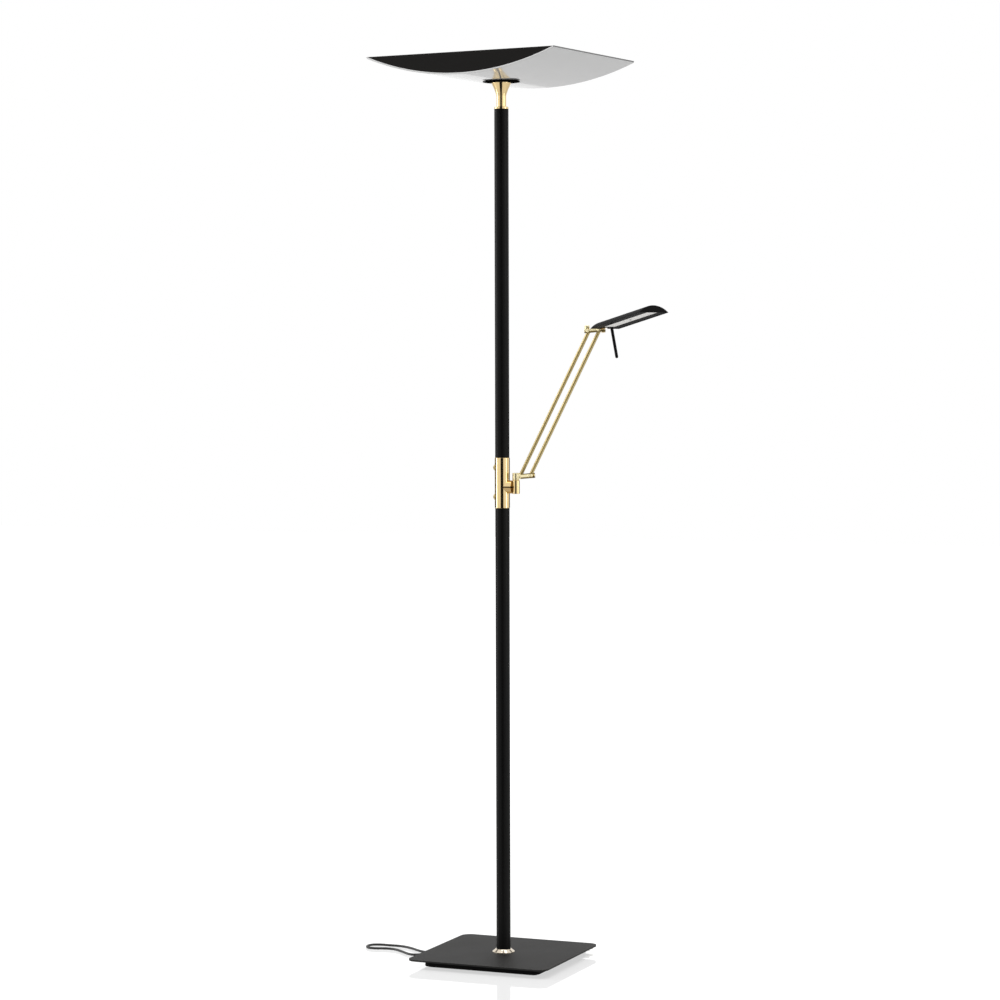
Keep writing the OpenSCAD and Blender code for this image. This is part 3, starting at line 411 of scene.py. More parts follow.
def between(wire, share, a, b):
    """A colour between two colours."""
    return wire.node("ShaderNodeMix", {"data_type": "RGBA"}, {0: share, 6: a, 7: b}, 2)


def faded(wire, value, start, end):
    """0 before start, 1 past end, and a soft step between them."""
    return wire.node("ShaderNodeMapRange", {"interpolation_type": "SMOOTHSTEP"}, {
        "Value": value, "From Min": start, "From Max": end})


def raised(wire, height, depth, strength, edge=None):
    """Relief, on edges that the shading rounds to a radius, as paint and polish do."""
    sockets = {"Height": height, "Distance": depth, "Strength": strength}
    if edge:
        sockets["Normal"] = wire.node("ShaderNodeBevel", {"samples": 4}, {"Radius": edge})
    return wire.node("ShaderNodeBump", {}, sockets)


def blank(owner):
    """Empties the node tree of a new material or world and returns its first wire."""
    owner.use_nodes = True
    owner.node_tree.nodes.clear()
    return Wire(owner.node_tree)


def finish(name, recipe):
    """A new material: recipe gets a wire and the place, and returns what the sockets hold."""
    material = bpy.data.materials.new(name)
    wire = blank(material)
    shader = wire.node("ShaderNodeBsdfPrincipled", {}, recipe(wire, place_on_lamp(wire)))
    wire.node("ShaderNodeOutputMaterial", {}, {"Surface": shader})
    return material


def rgb(r, g, b):
    return (r, g, b, 1.0)


print("helpers ready")

# %% [markdown]
# ## Black finishes
# The pole is sprayed with a satin black lacquer: smooth to the hand, with the slight orange peel
# that any sprayed coat has. The same recipe with more roughness gives the dull hood of the
# reading head, and without any mirror the flat black disc under the shade, which stays black
# though it is seen at a flat angle. The plate and the end panels have a drier powder coat with a
# fine grain, and the plate looks greyer because its coat mirrors more. All start from nearly the
# same black: roughness, mirror and relief tell them apart.


# %% Satin lacquer and powder coat
def black_lacquer(rough, mirror):
    def recipe(wire, where):
        peel = grain(wire, where, 420, 3)
        dust = grain(wire, where, 2600, 1)
        wipe = grain(wire, stretched(wire, where, (1, 1, 0.25)), 14, 4, 0.6)
        return {
            "Base Color": between(
                wire, wipe, rgb(0.0035, 0.0034, 0.0034), rgb(0.0065, 0.0062, 0.006)),
            "Roughness": rough + wipe * 0.12 + dust * 0.05,
            "Specular IOR Level": mirror,
            "Normal": raised(wire, peel + dust * 0.15, 0.00003, 0.35, edge=0.0005),
        }
    return recipe


def powder_coat(mirror):
    def recipe(wire, where):
        pebble = grain(wire, where, 1500, 2, 0.55)
        swell = grain(wire, where, 320, 2)
        cloud = grain(wire, where, 9, 4, 0.6)
        return {
            "Base Color": between(
                wire, cloud, rgb(0.0065, 0.006, 0.0055), rgb(0.0115, 0.0105, 0.0095)),
            "Roughness": 0.5 + cloud * 0.1 + pebble * 0.08,
            "Specular IOR Level": mirror,
            "Normal": raised(wire, pebble + swell * 0.6, 0.00012, 0.55, edge=0.0006),
        }
    return recipe


def cast_iron(wire, where):
    sand = grain(wire, where, 700, 4, 0.65)
    cloud = grain(wire, where, 25, 3)
    return {
        "Base Color": between(
            wire, cloud, rgb(0.0028, 0.0026, 0.0024), rgb(0.0052, 0.0048, 0.0045)),
        "Roughness": 0.6 + sand * 0.15,
        "Specular IOR Level": 0.1,
        "Normal": raised(wire, sand, 0.0003, 0.7, edge=0.0008),
    }


satin_black = finish("satin_black", black_lacquer(rough=0.3, mirror=0.1))
flat_black = finish("flat_black", black_lacquer(rough=0.6, mirror=0.0))
dull_black = finish("dull_black", black_lacquer(rough=0.55, mirror=0.07))
powder_black = finish("powder_black", powder_coat(mirror=0.26))
panel_black = finish("panel_black", powder_coat(mirror=0.11))
cast_block = finish("cast_block", cast_iron)
print("black finishes ready")

# %% [markdown]
# ## Brass
# The sleeve, arm and neck are turned brass, polished and lacquered, so they mirror the room:
# what makes them look like brass is the room itself, with its pale walls and a dark gap where
# the camera stands. The metal only adds its colour, hair-fine polishing lines and a breath of
# uneven lacquer. The rods are drawn, so they are dull, and their fine lines run along them; the
# buttons share that finish, whose darker brass colour is painted shade. The collar at the foot
# has a paler, nickel-like plating.


# %% Polished and drawn brass, and the pale collar
def brass(dark, light, rough, edge, lines=(60, 60, 5200), lean=0.0):
    def recipe(wire, where):
        along_it = wire.node("ShaderNodeMapping", {}, {
            "Vector": where, "Rotation": (0.0, -lean, 0.0)})
        polish_lines = grain(wire, stretched(wire, along_it, lines), 1, 2)
        breath = grain(wire, where, 38, 4, 0.6)
        specks = grain(wire, where, 1900, 1)
        return {
            "Metallic": 1.0,
            "Base Color": between(wire, breath, dark, light),
            "Roughness": rough + breath * 0.07 + specks * 0.02,
            "Normal": raised(wire, polish_lines, 0.00001, 0.2, edge),
        }
    return recipe


def pale_plating(wire, where):
    turned_lines = grain(wire, stretched(wire, where, (60, 60, 4200)), 1, 2)
    breath = grain(wire, where, 45, 3)
    return {
        "Metallic": 1.0,
        "Base Color": between(wire, breath, rgb(0.71, 0.62, 0.49), rgb(0.8, 0.72, 0.6)),
        "Roughness": 0.09 + breath * 0.08,
        "Normal": raised(wire, turned_lines, 0.00002, 0.4, edge=0.0004),
    }


brass_dark, brass_light = rgb(0.775, 0.58, 0.285), rgb(0.835, 0.645, 0.35)
polished_brass = finish("polished_brass", brass(brass_dark, brass_light, rough=0.045, edge=0.0003))
arm_lean = math.radians(27.1)
# painted shade: the rods and buttons get a darker copy of the brass colour
rod_brass_shaded = finish("rod_brass_shaded", brass(
    rgb(0.54, 0.425, 0.19), rgb(0.62, 0.5, 0.24), rough=0.34, edge=0.0003,
    lines=(5200, 5200, 60), lean=arm_lean))
pale_collar = finish("pale_collar", pale_plating)
print("brass and plating ready")

# %% [markdown]
# ### The arm's bars and the clamp
# The two bars of the arm have softer edges, as cast and buffed pieces do, and a paler brass
# colour that is a painted highlight. Brown lines along their long edges are painted shade, and
# their pins' caps, in the same paler colour, are duller. The boss on the sleeve is a clamp, with
# painted shade for a slot half-way up and along its upper edge. These lines are laid out
# by height, so the recipes work with the z of the lamp's frame.


# %% Bars, pins' caps and clamp
def arm_bar(rough, start, low_edge, high_edge):
    """Brass with a painted highlight in its paler colour, and painted shade in brown along the two
    long edges past start. The edges are heights at x = 0.
    """
    def recipe(wire, where):
        x, _, z = xyz(wire, where)
        up = z * math.cos(bar_rise) - x * math.sin(bar_rise) + grain(wire, where, 240) * 0.0003
        # painted shade: brown lines just inside the two long edges
        low_edge_shade = faded(wire, up, low_edge + 0.0038, low_edge + 0.0026)
        high_edge_shade = faded(wire, up, high_edge - 0.0023, high_edge - 0.0013)
        brown_and_shade = (x > start) * (low_edge_shade + high_edge_shade)
        sockets = brass(lit_bar_dark, lit_bar_light, rough, bar_edge, (60, 5200, 5200))(wire, where)
        sockets["Base Color"] = between(wire, brown_and_shade, sockets["Base Color"], rgb(0.2, 0.145, 0.05))
        return sockets
    return recipe


def clamp_boss(wire, where):
    """Painted shade for a slot half-way up and along the upper edge, and a browner lower jaw."""
    z = xyz(wire, where)[2]
    # painted shade: a dark band half-way up stands for the shade in a slot
    slot_shade = faded(wire, wire.sum("ABSOLUTE", z - boss_z), 0.0017, 0.0009)
    # painted shade: a brown line along the upper edge
    top_edge_shade = faded(wire, z, boss_z + 0.0088, boss_z + 0.0108)
    brown_and_shade = faded(wire, z, boss_z, boss_z - 0.002) * 0.55 + top_edge_shade * 0.9
    sockets = brass(brass_dark, brass_light, 0.07, 0.0004)(wire, where)
    browner = between(wire, brown_and_shade, sockets["Base Color"], rgb(0.3, 0.17, 0.05))
    sockets["Base Color"] = between(wire, slot_shade, browner, rgb(0.035, 0.022, 0.01))
    sockets["Roughness"] = sockets["Roughness"] + slot_shade * 0.35
    return sockets


bar_rise = math.radians(5)
# painted highlight: the bars and pins' caps get a paler copy of the brass colour
lit_bar_dark, lit_bar_light, bar_edge = rgb(0.91, 0.79, 0.46), rgb(0.95, 0.86, 0.56), 0.0022
no_edge = 1.3
boss_low, boss_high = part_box("arm_boss")
boss_z = (boss_low.z + boss_high.z) / 2
low_bar_brass = finish("low_bar_brass", arm_bar(
    rough=0.06, start=0.042, low_edge=0.961, high_edge=0.971))
top_bar_brass = finish("top_bar_brass", arm_bar(
    rough=0.3, start=0.17, low_edge=1.2365, high_edge=no_edge))
pivot_brass = finish("pivot_brass", brass(lit_bar_dark, lit_bar_light, rough=0.3, edge=bar_edge))
boss_brass = finish("boss_brass", clamp_boss)
print("bars and clamp ready")

# %% [markdown]
# ## The white shade
# The shade is a 3 mm sheet lacquered a glossy white on its underside as well, so the neck and
# disc show in it faintly. A clear coat over a softly uneven white gives that depth: the coat
# has its own sharp reflection while the white beneath stays matt. The opal covers over the lamp
# boards get a faint painted glow of their own, which makes them look brighter.


# %% White lacquer
def white_lacquer(wire, where):
    peel = grain(wire, where, 260, 2)
    cloud = grain(wire, where, 12, 4, 0.6)
    return {
        "Base Color": between(wire, cloud, rgb(0.79, 0.79, 0.785), rgb(0.84, 0.84, 0.835)),
        "Roughness": 0.32 + cloud * 0.08,
        "Coat Weight": 1.0,
        "Coat Roughness": 0.04,
        "Normal": raised(wire, peel, 0.00003, 0.3, edge=0.0006),
    }


def opal_with_painted_glow(wire, where):
    frost = grain(wire, where, 2200, 2)
    cloud = grain(wire, where, 60, 3)
    return {
        "Base Color": between(wire, cloud, rgb(0.84, 0.835, 0.815), rgb(0.9, 0.895, 0.88)),
        # painted glow: the opal covers glow faintly of their own, to look brighter
        "Emission Color": between(wire, cloud, rgb(0.86, 0.83, 0.78), rgb(1.0, 0.97, 0.92)),
        "Emission Strength": 0.26,
        "Roughness": 0.42 + frost * 0.12,
        "Normal": raised(wire, cloud, 0.00004, 0.3),
        "Subsurface Weight": 0.15,
        "Subsurface Radius": (0.004, 0.004, 0.004),
    }


white_gloss = finish("white_gloss", white_lacquer)
opal = finish("opal", opal_with_painted_glow)
print("white finishes ready")

# %% [markdown]
# ## Plastics, felt and the parts inside
# Most of these are never seen in the photograph: the driver in the foot, the dimmer's board in
# the sleeve, the lamp boards under their opal covers. They still get a true finish, because a
# library part is opened and looked at. One recipe serves all mould-grained plastics, with
# the colour and grain that each needs.


# %% Moulded plastic, board, metal and felt
def moulded(dark, light, per_metre=1400):
    def recipe(wire, where):
        spark = grain(wire, where, per_metre, 2, 0.6)
        cloud = grain(wire, where, 40, 3)
        return {
            "Base Color": between(wire, cloud, dark, light),
            "Roughness": 0.42 + spark * 0.15,
            "Normal": raised(wire, spark, 0.00006, 0.6, edge=0.0004),
        }
    return recipe


def circuit_board(dark, light):
    def recipe(wire, where):
        tracks = wire.node("ShaderNodeTexVoronoi", {"distance": "MANHATTAN"},
                           {"Vector": where, "Scale": 420.0})
        weave = grain(wire, where, 3000, 1)
        return {
            "Base Color": between(wire, tracks > 0.62, dark, light),
            "Roughness": 0.28 + weave * 0.15,
            "Normal": raised(wire, tracks, 0.00003, 0.6),
        }
    return recipe


def brushed(dark, light, rough=0.22):
    def recipe(wire, where):
        brush = grain(wire, stretched(wire, where, (90, 90, 2600)), 1, 3)
        cloud = grain(wire, where, 60, 3)
        return {
            "Metallic": 1.0,
            "Base Color": between(wire, cloud, dark, light),
            "Roughness": rough + brush * 0.16,
            "Normal": raised(wire, brush, 0.00002, 0.5, edge=0.0003),
        }
    return recipe


def pressed_felt(wire, where):
    lie = grain(wire, where, 130, 3, 0.7)
    fibre = wire.node("ShaderNodeTexNoise", {}, {
        "Vector": where, "Scale": 1500.0, "Detail": 4.0, "Roughness": 0.7, "Distortion": 1.6})
    return {
        "Base Color": between(wire, fibre, rgb(0.006, 0.006, 0.0065), rgb(0.024, 0.0235, 0.023)),
        "Roughness": 0.9 + lie * 0.08,
        "Sheen Weight": 0.35,
        "Normal": raised(wire, fibre + lie, 0.0003, 0.9),
    }


white_board = finish("white_board", circuit_board(rgb(0.62, 0.62, 0.6), rgb(0.74, 0.74, 0.72)))
green_board = finish("green_board", circuit_board(rgb(0.008, 0.085, 0.03), rgb(0.02, 0.16, 0.06)))
steel = finish("steel", brushed(rgb(0.42, 0.42, 0.41), rgb(0.56, 0.55, 0.53)))
aluminium = finish("aluminium", brushed(rgb(0.62, 0.62, 0.63), rgb(0.74, 0.74, 0.74), 0.3))
felt = finish("felt", pressed_felt)
part_plastic = finish("part_plastic", moulded(rgb(0.02, 0.02, 0.021), rgb(0.032, 0.032, 0.032)))
driver_case = finish("driver_case", moulded(rgb(0.64, 0.64, 0.62), rgb(0.74, 0.74, 0.72), 900))
washer = finish("washer", moulded(rgb(0.55, 0.53, 0.48), rgb(0.66, 0.64, 0.58), 2000))
print("plastics, boards, metals and felt ready")

# %% [markdown]
# ### Lamp chips, sheath and plug
# The yellow of a lamp chip is its phosphor. The sheath's lines follow the lead through the UV map
# of its own mesh. The plug and its pins are one solid, so their finish changes at the place where
# the pins come out of their sleeves.


# %% Chips, PVC and plug
def led_package(wire, where):
    phosphor = grain(wire, where, 900, 3)
    return {
        "Base Color": between(wire, phosphor, rgb(0.75, 0.55, 0.12), rgb(0.85, 0.72, 0.32)),
        "Roughness": 0.25 + phosphor * 0.2,
        "Normal": raised(wire, phosphor, 0.00005, 0.5),
    }


def pvc_sheath(wire, where):
    along = wire.node("ShaderNodeUVMap", {"uv_map": "along"})
    lines = grain(wire, stretched(wire, along, (40, 12, 1)), 1, 3)
    scuff = grain(wire, where, 90, 4, 0.65)
    return {
        "Base Color": between(wire, scuff, rgb(0.008, 0.008, 0.0085), rgb(0.018, 0.0175, 0.017)),
        "Roughness": 0.34 + scuff * 0.16,
        "Normal": raised(wire, lines + scuff * 0.3, 0.00006, 0.5),
    }


def plug_mould(wire, where):
    """Black PVC, with bare plated tips where the pins are past their sleeves."""
    tip = xyz(wire, where)[0] > (plug_mouth.x + plug_neck + plug_body + pin_sleeve) * mm
    spark = grain(wire, where, 1700, 2, 0.6)
    scuff = grain(wire, where, 70, 4)
    black = between(wire, scuff, rgb(0.009, 0.009, 0.0095), rgb(0.02, 0.0195, 0.019))
    return {
        "Base Color": between(wire, tip, black, rgb(0.72, 0.69, 0.62)),
        "Metallic": tip,
        "Roughness": (1 - tip) * (0.42 + spark * 0.14) + tip * 0.18,
        "Normal": raised(wire, spark, 0.00006, 0.5, edge=0.0005),
    }


plug_neck, plug_body, pin_sleeve = 20, 36, 10
led = finish("led", led_package)
lead_pvc = finish("lead_pvc", pvc_sheath)
plug_plastic = finish("plug_plastic", plug_mould)
finishes = {m.name: m for m in (
    satin_black, powder_black, cast_block, polished_brass, pale_collar, white_gloss, white_board,
    green_board, opal, steel, aluminium, felt, lead_pvc, plug_plastic, part_plastic, driver_case,
    led, washer)}
own_finishes = {"shade_disc": flat_black, "rod_a": rod_brass_shaded, "rod_b": rod_brass_shaded,
                "upper_button": rod_brass_shaded, "lower_button": rod_brass_shaded, "button_rings": rod_brass_shaded,
                "lower_bar": low_bar_brass, "upper_bar": top_bar_brass, "arm_boss": boss_brass,
                "lower_pivots": pivot_brass, "upper_pivots": pivot_brass, "head_hood": dull_black,
                "front_panel": panel_black, "back_panel": panel_black}
print(len(finishes) + len(set(own_finishes.values())), "finishes")

# %% [markdown]
# ### Which piece gets which finish
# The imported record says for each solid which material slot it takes, so the finishes are dealt
# out by that list and no solid can be forgotten. A few solids have a finish of their own.

# %% Deal out the finishes
mains_sheath.data.materials.append(lead_pvc)
hook_tie.data.materials.append(felt)
for part in frame["record"]["subparts"]:
    solid = solids[part["node"]]
    solid.data.materials.clear()
    solid.data.materials.append(own_finishes.get(part["node"], finishes[part["material_slot"]]))

# %% [markdown]
# ## Pieces that follow a rule
# Geometry Nodes make shapes from a rule and a few sizes, so a size can be tried again without
# new code. Three pieces suit that: the shade, which is a flat sheet rolled to one radius, the
# ribbed grommet where the lead leaves the foot, and the felt under the foot with its fibres.
# Each tree has named sizes, and the result is turned into a plain mesh that the lamp can carry.


# %% A tree with named sizes
class Recipe(Wire):
    """A Geometry Nodes tree whose sizes have names."""

    def __init__(self, name, **sizes):
        tree = bpy.data.node_groups.new(name, "GeometryNodeTree")
        super().__init__(tree)
        self.sizes, self.names = sizes, {}
        for size in sizes:
            made = tree.interface.new_socket(size, in_out="INPUT", socket_type="NodeSocketFloat")
            self.names[size] = made.identifier
        tree.interface.new_socket("Geometry", in_out="OUTPUT", socket_type="NodeSocketGeometry")
        self.given = tree.nodes.new("NodeGroupInput")

    def size(self, name):
        return Wire(self.tree, self.given.outputs[name])

    def make(self, name, shape, material):
        """Ends the tree, runs it once on an empty object, and keeps its mesh."""
        real = self.node("GeometryNodeRealizeInstances", {}, {"Geometry": shape})
        worn = self.node("GeometryNodeSetMaterial", {}, {"Geometry": real, "Material": material})
        self.node("NodeGroupOutput", {}, {"Geometry": worn})
        made = bpy.data.objects.new(name, bpy.data.meshes.new(name + "_start"))
        bpy.context.scene.collection.objects.link(made)
        rule = made.modifiers.new("rule", "NODES")
        rule.node_group = self.tree
        for size, value in self.sizes.items():
            rule[self.names[size]] = float(value)
        ready = made.evaluated_get(bpy.context.evaluated_depsgraph_get())
        mesh = bpy.data.meshes.new_from_object(ready)
        made.modifiers.clear()
        made.data = mesh
        mesh.name = name
        mesh.polygons.foreach_set("use_smooth", [True] * len(mesh.polygons))
        print(name, len(mesh.polygons), "faces")
        return made


# %% [markdown]
# ### The rolled shade
# The sheet is 418 by 342 mm, rolled so that its middle hangs 41 mm below its ends. The tree lays
# a grid, lifts every point onto the inner cylinder, pulls a second skin down to the outer one
# and closes the rim between them. The cut ends stand upright, as a guillotine leaves them before
# rolling. They are painted grey, as painted shade. A small bevel then rounds the rim,
# which is the fine pale line round the shade.

# %% Roll the shade's sheet
shade_turn = math.radians(-6.5)
shade_width = 0.418
sheet_thick = 0.003
rolled = Recipe("rolled_sheet", width=shade_width, length=0.342, radius=0.553195,
                thickness=sheet_thick, floor=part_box("shade_sheet")[0].z + sheet_thick)
flat = rolled.node("GeometryNodeMeshGrid", {}, {
    "Size X": rolled.size("width"), "Size Y": rolled.size("length"),
    "Vertices X": 121, "Vertices Y": 9})
spot_x, spot_y, _ = xyz(rolled, rolled.node("GeometryNodeInputPosition"))


def on_cylinder(extra):
    """The grid's points at the height of a cylinder so much wider than the inner one."""
    reach = rolled.size("radius") + extra
    drop = rolled.sum("SQRT", reach * reach - spot_x * spot_x)
    height = rolled.size("floor") + rolled.size("radius") - drop
    return rolled.node("ShaderNodeCombineXYZ", {}, {0: spot_x, 1: spot_y, 2: height})


inner = rolled.node("GeometryNodeSetPosition", {}, {"Geometry": flat, "Position": on_cylinder(0.0)})
pulled = rolled.node("GeometryNodeExtrudeMesh", {"mode": "FACES"}, {
    "Mesh": inner, "Offset": (0.0, 0.0, -1.0), "Individual": False,
    "Offset Scale": rolled.size("thickness")})
outer = rolled.node("GeometryNodeSetPosition", {}, {
    "Geometry": pulled, "Selection": Wire(rolled.tree, pulled.socket.node.outputs["Top"]),
    "Position": on_cylinder(rolled.size("thickness"))})
both = rolled.node("GeometryNodeJoinGeometry", {}, {"Geometry": inner})
rolled.tree.links.new(outer.socket, both.socket.node.inputs["Geometry"])
shut = rolled.node("GeometryNodeMergeByDistance", {}, {"Geometry": both, "Distance": 0.00001})
turned = rolled.node("GeometryNodeTransform", {}, {
    "Geometry": shut, "Rotation": (0.0, 0.0, shade_turn)})
print("sheet", shade_width, "m wide, turned", round(math.degrees(shade_turn), 1), "degrees")

# %% [markdown]
# ### The sheet's own lacquer
# The cut ends are only 3 mm wide, so their painted shade needs no material slot of its own: the
# place across the sheet tells the lacquer where they are.


# %% Lacquer the sheet and round its edges
def sheet_lacquer(wire, where):
    """White lacquer with the two cut ends painted grey and without coat, as painted shade."""
    sockets = white_lacquer(wire, where)
    x, y, _ = xyz(wire, where)
    across = wire.sum("ABSOLUTE", x * math.cos(shade_turn) + y * math.sin(shade_turn))
    # painted shade: the cut ends are painted grey and left uncoated
    cut_end_shade = across > shade_width / 2 - 0.0008
    sockets["Base Color"] = between(wire, cut_end_shade, sockets["Base Color"], rgb(0.2, 0.2, 0.2))
    sockets["Coat Weight"] = 1 - cut_end_shade
    return sockets


rolled_shade = rolled.make("rolled_shade", turned, finish("sheet_lacquer", sheet_lacquer))


def face_outwards(piece):
    mesh = bmesh.new()
    mesh.from_mesh(piece.data)
    bmesh.ops.recalc_face_normals(mesh, faces=mesh.faces)
    mesh.to_mesh(piece.data)
    mesh.free()


def round_the_edges(piece, width):
    """A live bevel on every edge that turns more than 50 degrees."""
    edge = piece.modifiers.new("edge", "BEVEL")
    edge.width = width
    edge.segments = 2
    edge.limit_method = "ANGLE"
    edge.angle_limit = math.radians(50)
    edge.harden_normals = True


face_outwards(rolled_shade)
round_the_edges(rolled_shade, 0.0006)
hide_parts("shade_sheet")
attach(rolled_shade, "shade")

# %% [markdown]
# ### The ribbed grommet
# Soft PVC grommets bend evenly because ribs are cut into them. The tree sets discs along a
# short line from the foot's wall to the lead, each a little smaller than the last, over a thin
# core. It is the classic use of instances: one rib is made once and repeated.

# %% Set the ribs of the grommet
rib_count = 7
rib_sides = 32
first_rib, last_rib = 0.0008, 0.0185
core_start, core_end = -0.0105, 0.022
collar_radius, collar_depth = 0.0049, 0.002
grommet_seat = (-0.1225, -0.02, 0.0075)
grommet = Recipe("ribbed_grommet", first=collar_radius, last=0.0036, rib=0.0014)
line = grommet.node("GeometryNodeMeshLine", {"mode": "END_POINTS"}, {
    "Count": rib_count, "Start Location": (0.0, 0.0, first_rib), "Offset": (0.0, 0.0, last_rib)})
rib = grommet.node("GeometryNodeMeshCylinder", {"fill_type": "NGON"}, {
    "Vertices": rib_sides, "Radius": 1.0, "Depth": grommet.size("rib")})
place = grommet.node("GeometryNodeInputIndex")
share = place / (rib_count - 1)
wide = grommet.size("first") * (1 - share) + grommet.size("last") * share
spread = grommet.node("ShaderNodeCombineXYZ", {}, {0: wide, 1: wide, 2: 1.0})
ribs = grommet.node("GeometryNodeInstanceOnPoints", {}, {
    "Points": line, "Instance": rib, "Scale": spread})
core = grommet.node("GeometryNodeMeshCone", {"fill_type": "NGON"}, {
    "Vertices": rib_sides, "Radius Top": 0.0031, "Radius Bottom": 0.004,
    "Depth": core_end - core_start})
core = grommet.node("GeometryNodeTransform", {}, {
    "Geometry": core, "Translation": (0.0, 0.0, core_start)})
collar = grommet.node("GeometryNodeMeshCylinder", {"fill_type": "NGON"}, {
    "Vertices": rib_sides, "Radius": collar_radius, "Depth": collar_depth})
collar = grommet.node("GeometryNodeTransform", {}, {
    "Geometry": collar, "Translation": (0.0, 0.0, collar_depth / 2)})
whole = grommet.node("GeometryNodeJoinGeometry", {}, {"Geometry": ribs})
for other in (core, collar):
    grommet.tree.links.new(other.socket, whole.socket.node.inputs["Geometry"])
laid = grommet.node("GeometryNodeTransform", {}, {
    "Geometry": whole, "Translation": grommet_seat, "Rotation": (0.0, -math.pi / 2, 0.0)})
lead_grommet = grommet.make("lead_grommet", laid, plug_plastic)
round_the_edges(lead_grommet, 0.00025)
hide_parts("strain_relief")
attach(lead_grommet, "stand")

# %% [markdown]
# ### The felt under the foot
# A sheet of pressed wool felt, 1 mm thick, is glued under the foot so that it slides and does
# not mark the floor. Only its rim shows, as a soft dark line, so the tree spreads short fibres
# along the rim, a few faces each, turned at random with a fixed seed.

# %% Cut the felt
felt_low, felt_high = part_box("felt_pad")
felt_side = felt_high.x - felt_low.x
felt_middle = (felt_low.z + felt_high.z) / 2
felt_corner = 0.008


def rounded_square(side, bend, steps=8):
    half = side / 2 - bend
    return [(sx * half + bend * math.cos(a), sy * half + bend * math.sin(a))
            for q, (sx, sy) in enumerate(((1, 1), (-1, 1), (-1, -1), (1, -1)))
            for a in [math.pi / 2 * (q + k / steps) for k in range(steps + 1)]]


sheet_mesh = bmesh.new()
off_the_floor = 0.00005
lower = [sheet_mesh.verts.new((x, y, felt_low.z + off_the_floor))
         for x, y in rounded_square(felt_side, felt_corner)]
sheet_mesh.faces.new(lower[::-1])
grown = bmesh.ops.extrude_face_region(sheet_mesh, geom=list(sheet_mesh.faces))
for v in grown["geom"]:
    if isinstance(v, bmesh.types.BMVert):
        v.co.z = felt_high.z
bmesh.ops.recalc_face_normals(sheet_mesh, faces=sheet_mesh.faces)
foot_felt = keep("foot_felt", sheet_mesh, False)
foot_felt.data.materials.append(felt)
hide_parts("felt_pad")
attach(foot_felt, "stand")
print("felt", round(felt_side, 3), "m square")

# %% [markdown]
# ### Its fibres
# Particle hair would do as well, but instances on a curve end as a plain mesh, which the lamp can
# carry.

# %% Raise the felt's fibres
fibre_count = 1600
fuzz = Recipe("felt_fuzz", side=felt_side - 0.001, fibre=0.0009, middle=felt_middle)
outline = fuzz.node("GeometryNodeCurvePrimitiveQuadrilateral", {"mode": "RECTANGLE"}, {
    "Width": fuzz.size("side"), "Height": fuzz.size("side")})
outline = fuzz.node("GeometryNodeFilletCurve", {"mode": "POLY"}, {
    "Curve": outline, "Count": 8, "Radius": felt_corner})
points = fuzz.node("GeometryNodeCurveToPoints", {"mode": "COUNT"}, {
    "Curve": outline, "Count": fibre_count})
jitter = fuzz.node("FunctionNodeRandomValue", {"data_type": "FLOAT_VECTOR"}, {
    "Min": (-0.0004, -0.0004, -0.00032), "Max": (0.0004, 0.0004, 0.00032), "Seed": 5})
lifted = fuzz.node("ShaderNodeCombineXYZ", {}, {2: fuzz.size("middle")})
shift = fuzz.node("ShaderNodeVectorMath", {"operation": "ADD"}, {0: jitter, 1: lifted})
points = fuzz.node("GeometryNodeSetPosition", {}, {"Geometry": points, "Offset": shift})
hair = fuzz.node("GeometryNodeMeshCone", {"fill_type": "NONE"}, {
    "Vertices": 3, "Radius Top": 0.00001, "Radius Bottom": 0.00003, "Depth": fuzz.size("fibre")})
lean = fuzz.node("FunctionNodeRandomValue", {"data_type": "FLOAT_VECTOR"}, {
    "Min": (1.45, -0.1, 0.0), "Max": (1.7, 0.1, 6.28), "Seed": 9})
fibres = fuzz.node("GeometryNodeInstanceOnPoints", {}, {
    "Points": points, "Instance": hair, "Rotation": lean})
felt_fibres = fuzz.make("felt_fibres", fibres, felt)
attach(felt_fibres, "stand")

# %% [markdown]
# ### The lead's length
# The lead carries its grommet, tie and plug. Its length is what its own line measures.

print("cord of", round(lead_length, 3), "m, with grommet, tie and plug")

# %% [markdown]
# ## The studio
# The room is a pale floor in a white void. The picture's background has to be white without
# more light on the lamp, so the world is white only for what the camera and mirrors see, and
# plainer for what it lights.


# %% Make the white void
def seen_directly(wire):
    """1 for rays from the camera, a mirror or glass, and 0 for the rest."""
    path = wire.node("ShaderNodeLightPath")
    outs = path.socket.node.outputs
    unseen = 1
    for ray in ("Is Camera Ray", "Is Glossy Ray", "Is Transmission Ray"):
        unseen = (1 - Wire(wire.tree, outs[ray])) * unseen
    return 1 - unseen


world = bpy.data.worlds.new("white_room")
bpy.context.scene.world = world
air = blank(world)
white_of_room = 0.5 + seen_directly(air) * 0.5
sky = air.node("ShaderNodeBackground", {}, {"Color": rgb(1, 1, 1), "Strength": white_of_room})
air.node("ShaderNodeOutputWorld", {}, {"Surface": sky})
print("room:", world.name)

# %% [markdown]
# ### The floor
# A backdrop that curves up behind the lamp would do, but the brass would mirror the curve. The
# floor is flat and adds some white of its own, as the world does. It is polished only round the
# foot, where it keeps the lamp's shadow and a faint reflection. Further out it is matt and turns
# to plain white. A strip of it in front of the lamp is black to mirrors only, because the
# polished brass sees the floor there as a continuation of the cards.

# %% Lay the floor
floor_half = 14
floor_drop = 0.0004
floor_mesh = bmesh.new()
bmesh.ops.create_grid(floor_mesh, x_segments=1, y_segments=1, size=floor_half)
floor = keep("studio_floor", floor_mesh)
floor.location.z = -floor_drop
floor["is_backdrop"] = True
pale = bpy.data.materials.new("studio_floor")
ground = blank(pale)


